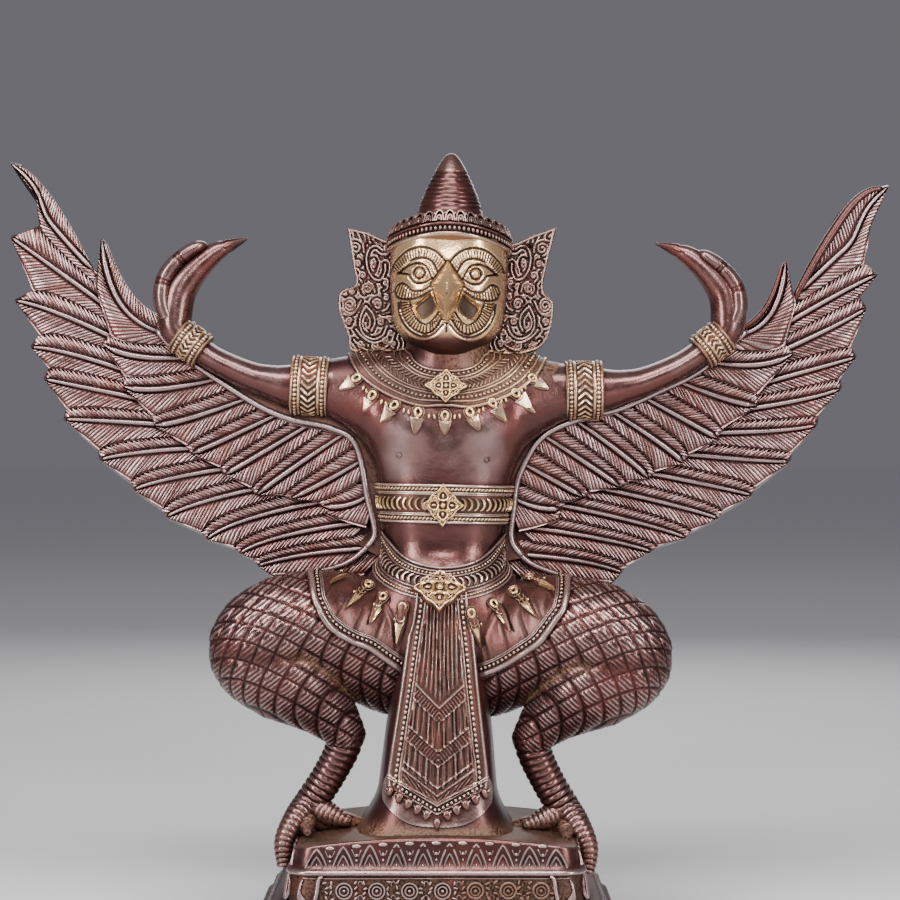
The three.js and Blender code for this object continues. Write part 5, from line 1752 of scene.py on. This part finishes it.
def crown_leaves(skin, count=36):
    """Two arches to each leaf on the crown's rim, with a grain in it and one between it and the next."""
    swing = np.linspace(-1, 1, 9)
    rise = np.sqrt(clamp(1 - swing ** 2))
    for i in range(count):
        middle = TURN * i / count
        outward = np.array([math.sin(middle), -math.cos(middle), 0.35])
        for size in (1.0, 0.55):
            turn = middle + swing * size * 0.078
            high = LEAF_FOOT + LEAF_RISE * size * rise ** 0.8
            radius = 46.0 - 3.2 * (high - LEAF_FOOT) / LEAF_RISE
            cord(skin, on_crown(turn, radius, high), outward, 0.8, 1.3, (0.46, 0.05, 0.1), cols=6)
        for turn, radius, high, size in ((middle, 45.6, 523.4, (1.9, 0.9, 1.1)),
                                         (middle + math.pi / count, 43.6, 527.3, (1.6, 1.2, 1.3))):
            grains(skin, on_crown(turn, radius, high), UP, outward, size, (0.5, 0.1, 0.05))


def crown():
    skin = Skin()
    crown_body(skin)
    turn = round_turn(84)
    outward = np.stack([np.sin(turn), -np.cos(turn), 0 * turn], -1)
    grains(skin, on_crown(turn, 46.0, 516.4), UP, outward, (1.8, 1.35, 1.5), (0.55, 0.1, 0.05))
    crown_leaves(skin)
    build("crown", skin, bronze)


# Ears: carved scrolls, as [x, y, radius, turns, starting angle, squeeze] in pixels of the enlarged left ear
SCROLLS = [(185, 255, 62, 1.6, 100, 1.0), (205, 395, 34, 1.3, 160, 1.0), (252, 500, 34, 1.3, 160, 1.0),
           (292, 618, 54, 1.8, 120, 1.0), (135, 765, 80, 2.3, 60, 0.9), (384, 762, 52, 1.5, 200, 0.85),
           (132, 905, 34, 1.2, 90, 1.0), (368, 1135, 42, 1.5, 20, 1.0), (462, 1082, 34, 1.4, 40, 1.0),
           (506, 1015, 28, 1.2, 60, 1.0), (410, 920, 36, 1.3, 220, 1.0), (235, 1120, 40, 1.4, 10, 0.8),
           (455, 565, 34, 1.2, 250, 1.0), (460, 700, 30, 1.2, 250, 1.0), (350, 400, 60, 1.6, 90, 0.45),
           (500, 900, 36, 1.3, 200, 0.8), (530, 1120, 34, 1.2, 90, 0.8), (530, 790, 30, 1.2, 30, 0.8),
           (520, 640, 30, 1.2, 30, 0.8), (150, 640, 26, 1.1, 0, 1.0), (470, 250, 30, 1.2, 120, 0.8),
           (60, 720, 24, 1.0, 200, 0.8), (300, 1250, 30, 1.2, 20, 1.0), (430, 1240, 30, 1.2, 200, 1.0)]
EAR_LINES = [[(430, 275), (375, 236), (315, 258), (285, 345), (300, 450), (350, 528), (412, 540), (452, 470),
              (455, 400)],
             [(280, 775), (235, 870), (228, 960), (270, 1040), (350, 1075), (430, 1040), (470, 960)],
             [(280, 775), (345, 850), (360, 930), (330, 1000)],
             [(282, 840), (255, 910), (262, 975), (300, 1010)],
             [(282, 840), (318, 900), (312, 965), (290, 975), (278, 930)],
             [(170, 1080), (240, 1150), (340, 1185), (430, 1165), (500, 1110), (540, 1020)],
             [(190, 985), (250, 1055), (340, 1105), (440, 1080), (500, 1000)],
             [(245, 560), (215, 520), (225, 470), (200, 440)], [(360, 650), (345, 590), (300, 555)],
             [(440, 640), (470, 620), (480, 590)], [(430, 820), (470, 800), (490, 760)],
             [(395, 860), (440, 880), (480, 870)], [(60, 800), (90, 850), (150, 850), (200, 800), (235, 730)],
             [(130, 95), (165, 130), (160, 180)], [(195, 95), (215, 140), (235, 190)],
             [(250, 105), (270, 150), (275, 200)], [(300, 120), (305, 165), (325, 215)],
             [(350, 140), (350, 185), (385, 220)], [(120, 180), (190, 175), (250, 215), (262, 290)],
             [(395, 160), (400, 200), (425, 235)]]
EAR_RIDGES = 3.1


def ear_grid(side):
    """Spots over an ear's plate, and its outline but for the side that joins the head."""
    outline = np.array(side["ear"], float)
    outer = outline[1:-3]
    outer = spline(outer[np.argsort(outer[:, 1])], 8)
    outer = outer[np.concatenate([[True], np.diff(np.maximum.accumulate(outer[:, 1])) > 0])]
    top = outline[-4:][::-1]
    z = np.linspace(outer[0, 1] + 0.2, outer[-1, 1] - 0.3, 144)
    far = np.interp(z, outer[:, 1], outer[:, 0])
    near = np.where(z > top[0, 1], np.interp(z, top[:, 1], top[:, 0]), side["sign"] * 31.0)
    x = near[:, None] + (far - near)[:, None] * np.linspace(0, 1, 64)
    spots = np.stack([x, np.broadcast_to(z[:, None], x.shape)], -1)
    return spots, np.concatenate([outer, top[::-1][1:]])


def scroll(cx, cy, radius, turns, start, squeeze):
    t = np.linspace(0, 1, 26)
    angle = math.radians(start) + TURN * turns * t
    reach = radius * (1 - 0.82 * t)
    return np.stack([cx + squeeze * reach * np.cos(angle), cy + reach * np.sin(angle)], -1)


def ear_relief(spots, rim, sign):
    """Ridges that follow the scrolls and lines at even distances, inside a raised rim."""
    relief = Relief(spots.reshape(-1, 2))
    shift = np.array([0, 0]) if sign < 0 else np.array([-1.0, 2.6])

    def at(places):
        return seen(places, 335, 220, 9, -2) * (-sign, 1) + shift * (sign, 1)

    lines = [at(scroll(*row)) for row in SCROLLS] + [spline(at(line), 6) for line in EAR_LINES]
    nearest = np.full(len(relief.height), 99.0)
    for line in lines:
        nearest = np.minimum(nearest, distance(relief.spots, line)[0])
    nearest = np.minimum(nearest, 2.5 * EAR_RIDGES)
    swell = clamp((0.5 + 0.5 * np.cos(TURN * nearest / EAR_RIDGES)) * 1.35)
    away, _ = distance(relief.spots, rim)
    relief.height = 1.5 * swell * ramp(away, 1.6, 1.5)
    relief.wear = 0.06 + 0.62 * swell
    relief.press(hump(away - 1.3, 1.2), 1.4, 0.72)
    return relief


def ear(skin, side):
    spots, rim = ear_grid(side)
    relief = ear_relief(spots, rim, side["sign"])
    x, z = spots[..., 0], spots[..., 1]
    y = -3.0 + 2.0 * (np.abs(x) - 40) / 40 - relief.height.reshape(x.shape)
    pick = np.append(np.arange(0, 63, 9), 63)[::-1]
    low = ramp(z, 432, -6)
    tone = toned(relief.wear.reshape(x.shape), 0.1 + 0.35 * low, (0.12 + 0.6 * low) * 0.8)
    rings = np.concatenate([at_depth(spots, y), at_depth(spots[:, pick], 8.0)], 1)
    loft(skin, rings, np.concatenate([tone, tone[:, pick] * (0.4, 0, 0.3)], 1))


def ears():
    skin = Skin()
    for side in SIDES.values():
        ear(skin, side)
    build("ears", skin, bronze)


# Plinth. Its profile's rows are height and how far out it lies from the top's edge.
TOP_HALF = (101.0, 75.0)
PETAL_PITCH, PETAL_MARGIN, PETAL_FOOT = 18.3, 6, 56.8
ROSE_PITCH, ROSE_Z = 23.4, 41
PLINTH_PROFILE = np.array([[0.2, 32], [11, 32], [12.4, 31.4], [13.4, 28], [14, 26], [18.3, 22.4],
                           [20, 23.4], [23, 23.6], [24.6, 22.6], [26, 20.6], [29.8, 19.2], [30.4, 17],
                           [30.8, 7.2], [50.8, 4.2], [51.2, 5.6], [51.9, 6.8], [53.2, 7.2], [54.5, 6.8],
                           [55.4, 5.4], [56, 3.2], [69, 0.4], [70, -0.4]])


def plinth_corner(out):
    """The radius of the plinth's corners, where its side lies that far out."""
    return 14 + np.maximum(out, 0) * 0.6


def arch(x, rise):
    """How far the top's arched edge stands above its ends."""
    return rise * clamp(1 - (x / TOP_HALF[0]) ** 2)


def plinth_ring(out, z, rise):
    corner = plinth_corner(out)
    half, deep = TOP_HALF[0] + out - corner, TOP_HALF[1] + out - corner
    points = []
    for cx, cy, start in ((half, -deep, -90), (half, deep, 0), (-half, deep, 90), (-half, -deep, 180)):
        t = np.radians(start + np.linspace(0, 90, 8))
        points.append(np.stack([cx + corner * np.cos(t), cy + corner * np.sin(t)], -1))
    flat = np.concatenate(points)
    flat = along(np.concatenate([flat, flat[:1]]), np.linspace(0, 1, 301)[:-1])
    return at_height(flat, z + arch(flat[:, 0], rise))


class Side:
    """One side of the plinth. A place on it is u along it, from its middle, and a height z."""

    def __init__(self, right, outward, half, deep):
        self.right, self.outward = np.array(right, float), np.array(outward, float)
        self.half, self.deep = half, deep

    def bend(self, u, z):
        """How far out the side lies, its corner's radius and how far round the corner a place is."""
        out = np.interp(z, SIDE_OUT[:, 0], SIDE_OUT[:, 1])
        corner = plinth_corner(out)
        return out, corner, np.clip((np.abs(u) - (self.half + out - corner)) / corner, 0, 0.8)

    def on(self, u, z, lift):
        u, z = np.broadcast_arrays(np.asarray(u, float), np.asarray(z, float))
        out, corner, turn = self.bend(u, z)
        beside = np.minimum(np.abs(u), self.half + out - corner) + (corner + lift) * np.sin(turn)
        ahead = self.deep + out - corner + (corner + lift) * np.cos(turn)
        points = (np.sign(u) * beside)[..., None] * self.right + ahead[..., None] * self.outward
        points[..., 2] = z
        return points

    def facing(self, u, z):
        u, z = np.broadcast_arrays(np.asarray(u, float), np.asarray(z, float))
        turn = self.bend(u, z)[2]
        return (np.sign(u) * np.sin(turn))[..., None] * self.right + np.cos(turn)[..., None] * self.outward

    def rib(self, skin, u, z, lift, wide, high, tone, cols=6):
        cord(skin, self.on(u, z, lift), self.facing(u, z), wide, high, tone, cols=cols)


SIDE_OUT = PLINTH_PROFILE[np.argsort(PLINTH_PROFILE[:, 0])]
PLINTH_SIDES = [Side((1, 0, 0), (0, -1, 0), *TOP_HALF), Side((0, 1, 0), (1, 0, 0), *TOP_HALF[::-1]),
                Side((-1, 0, 0), (0, 1, 0), *TOP_HALF), Side((0, -1, 0), (-1, 0, 0), *TOP_HALF[::-1])]


def plinth_core(skin):
    """The stepped block under its ornament. Its last five rings are the dusty top."""
    rings = [plinth_ring(out, z, 0) for z, out in PLINTH_PROFILE[:-3]]
    rings += [plinth_ring(out, z, rise) for z, out, rise in
              ((59, 2.6, 1.0), (63, 1.8, 3.0), (68.4, 0.9, 6.6), (69.6, 0.5, 7.4), (70, -0.6, 7.8))]
    top = plinth_ring(-0.6, 70, 0)
    for inset in (12, 30, 50, 66):
        flat = top[:, :2] * (1 - inset * 0.5 / TOP_HALF[0], 1 - inset / TOP_HALF[1])
        rings.append(at_height(flat, 70 + arch(flat[:, 0], 7.9)))
    rings = np.array(rings)
    x, z = rings[..., 0], rings[..., 2]
    wear = 0.3 + 0.35 * ((z > 51) & (z < 55.5)) + 0.2 * (z < 12)
    wear += 0.45 * clamp(1 - np.abs(z - (70 + arch(x, 7.8))) / 0.8)
    tone = toned(wear, 0, 0.25 * ((z > 30.5) & (z < 51)))
    tone[-5:] = (0.02, 0, 0.45)
    loft(skin, rings, tone)


def petal_band(skin, side, rise):
    """Arched petals under the top's edge, with buds between them."""
    length = 2 * (side.half - PETAL_MARGIN)
    count = round(length / PETAL_PITCH)
    pitch = length / count
    swing = np.linspace(-1, 1, 13)
    for i in range(count):
        middle = -side.half + PETAL_MARGIN + (i + 0.5) * pitch
        tall = 11.4 + 0.75 * arch(middle, rise)
        for size, wear in ((1.0, 0.85), (0.58, 0.7)):
            z = PETAL_FOOT + tall * size * (1 - np.abs(swing) ** 1.35) ** 0.9
            side.rib(skin, middle + swing * pitch * 0.4 * size, z, 0.5, 1.15, 1.3, (wear, 0, 0.05))
        grains(skin, side.on([middle], [58.4], 0.4), UP, side.facing([middle], [60.0]), (2.0, 1.2, 1.4),
               (0.8, 0, 0), taper=0.5)
        if i < count - 1:
            bud(skin, side, middle + pitch / 2, tall)


def bud(skin, side, middle, tall):
    high = 57.5 + tall * np.array([0.3, 0.55, 0.98])
    size = np.array([[1.3, 1.1, 1.2], [1.6, 1.3, 1.3], [1.9, 4.3, 1.7]])
    grains(skin, side.on(middle, high, 0.7), UP, side.facing(middle, high), size, (0.8, 0, 0.05))
    for way in (-1, 1):
        u = middle + way * np.linspace(1.2, 3.6, 6)
        side.rib(skin, u, 57.5 + tall * np.linspace(0.5, 0.86, 6), 0.3, 0.7, 1.0, (0.7, 0, 0.05))


def frieze_frame(skin, side):
    """The lines over and under the frieze, and the curled leaf at each end of it."""
    half = side.half
    line = np.linspace(-half + PETAL_MARGIN, half - PETAL_MARGIN, 60)
    for z, size in ((49.6, 0.7), (32.2, 0.9)):
        side.rib(skin, line, z, 0.3, size, size, (0.6, 0, 0.2))
    for way in (-1, 1):
        u = way * (half - 17 + np.array([-3, -1, 0, 0.5, 1, 2, 3]))
        side.rib(skin, u, np.array([51, 50.4, 48.5, 45, 41, 36, 31]), 0.7, 1.8, 2.2, (0.75, 0, 0.05), cols=8)
        for k in range(5):
            reach = np.linspace(0, 1, 9)
            u = way * (half - 9 + k * 1.0 + 5.5 * np.sin(reach * 2.6) * (1 - 0.12 * k))
            side.rib(skin, u, 33 + 15.5 * (1 - 0.16 * k) * reach, 0.4, 0.7, 1.2, (0.7, 0, 0.15))


def rosettes(skin, side, rng, count, first, rubbed_to):
    """Ringed rosettes along the frieze, with crumbs and curls between them. Those further on are dusty."""
    t = np.linspace(0, TURN, 21)[:-1]
    for i in range(count):
        middle = first + ROSE_PITCH * i
        spot = side.on([middle], [ROSE_Z], 0.4)[0]
        worn, grime = (0.75, 0.1) if middle < rubbed_to else (0.35, 0.6)
        tone, faint = (worn, 0, grime), (worn * 0.9, 0, grime)
        for radius, thick in ((5.6, 0.95), (3.2, 0.8)):
            loop = spot + radius * (np.cos(t)[:, None] * side.right + np.sin(t)[:, None] * UP)
            cord(skin, loop, side.outward, thick, 1.2 * worn + 0.4, tone, closed=True, cols=6)
        grains(skin, [spot], UP, side.outward, (1.5, 1.5, 1.9), tone, rows=5, cols=10)
        for gap in (-8.6, 8.6) if i else (-13, -8.6, 8.6):
            u = middle + gap + rng.uniform(-1.0, 1.0, 4)
            z = ROSE_Z + np.array([-5.6, -1.9, 1.9, 5.6]) + rng.uniform(-0.7, 0.7, 4)
            turn = rng.uniform(0, math.pi, 4)[:, None]
            way = np.cos(turn) * side.right + np.sin(turn) * UP
            grains(skin, side.on(u, z, 0.2), way, side.outward, (2.3, 1.5, 1.6), faint, taper=0.4)
        for z in (36.2, 45.8):
            curl = t[::2] * 0.7
            line = side.on(middle + ROSE_PITCH / 2 + 1.6 * np.cos(curl), z + 1.9 * np.sin(curl), 0.3)
            cord(skin, line, side.outward, 0.6, 1.0, faint, cols=6)


def foot_beads(skin, side, z=21.5, pitch=5.1):
    """The row of beads along the foot's step, round to the corners."""
    reach = side.half - 4.6 + 22.0
    count = round(2 * reach / pitch)
    u = (np.arange(count) + 0.5) * 2 * reach / count - reach
    face = side.facing(u, z)
    grains(skin, side.on(u, z, 0.3), np.cross(UP, face), face, (2.2, 1.5, 1.5), (0.7, 0, 0.1))


def plinth():
    skin = Skin()
    plinth_core(skin)
    for i, side in enumerate(PLINTH_SIDES):
        long_side = i % 2 == 0
        petal_band(skin, side, 7.4 if long_side else 0)
        frieze_frame(skin, side)
        count, first = (7, -65.8) if long_side else (5, -46.8)
        rosettes(skin, side, np.random.default_rng(40 + i), count, first, math.inf if i else 20)
        foot_beads(skin, side)
    build("plinth_body", skin, plinth_bronze, node="plinth", upright=True)


# Floor and light
def floor():
    """A pale floor that grows paler with distance."""
    mesh = bpy.data.meshes.new("floor")
    mesh.from_pydata([(-40, -40, 0), (40, -40, 0), (40, 40, 0), (-40, 40, 0)], [], [(0, 1, 2, 3)])
    look = Look("floor")
    look.feed(look.shader["Roughness"], 0.7)
    reach = look.node("VectorMath", operation="LENGTH")
    look.feed(reach.inputs[0], look.place)
    look.feed(look.shader["Base Color"], look.span(reach.outputs["Value"], 0.8, 4.0, 0.6, 0.97))
    mesh.materials.append(look.material)
    piece = bpy.data.objects.new("floor", mesh)
    bpy.context.scene.collection.objects.link(piece)


LIT_SPOT = Vector((0, 0, 0.32))
SOFTBOXES = (("key", (-1.15, -1.15, 0.85), (0.32, 1.3), 35), ("fill", (1.15, -1.15, 0.8), (0.28, 1.2), 25),
             ("top", (-0.1, -1.1, 1.9), (1.5, 0.7), 44), ("front", (0.05, -1.75, 1.15), (0.5, 0.35), 13),
             ("back", (0.2, 1.6, 1.4), (1.4, 1.3), 17))


def softbox(name, place, size, power):
    data = bpy.data.lights.new(name, "AREA")
    data.shape = "RECTANGLE"
    data.size, data.size_y = size
    data.energy = power
    light = bpy.data.objects.new(name, data)
    light.location = place
    light.rotation_euler = (LIT_SPOT - Vector(place)).to_track_quat("-Z", "Y").to_euler()
    bpy.context.scene.collection.objects.link(light)


def lighting():
    world = bpy.data.worlds.new("world")
    world.use_nodes = True
    background = world.node_tree.nodes["Background"].inputs
    background["Color"].default_value = (0.64, 0.62, 0.70, 1)
    background["Strength"].default_value = 0.24
    bpy.context.scene.world = world
    for row in SOFTBOXES:
        softbox(*row)


floor()
lighting()
for name, side in SIDES.items():
    wing("wing_" + name, side)
for make in (torso, legs, feet, arms, collar, belts, flaps, sash, support, head, crown, ears, plinth):
    make()
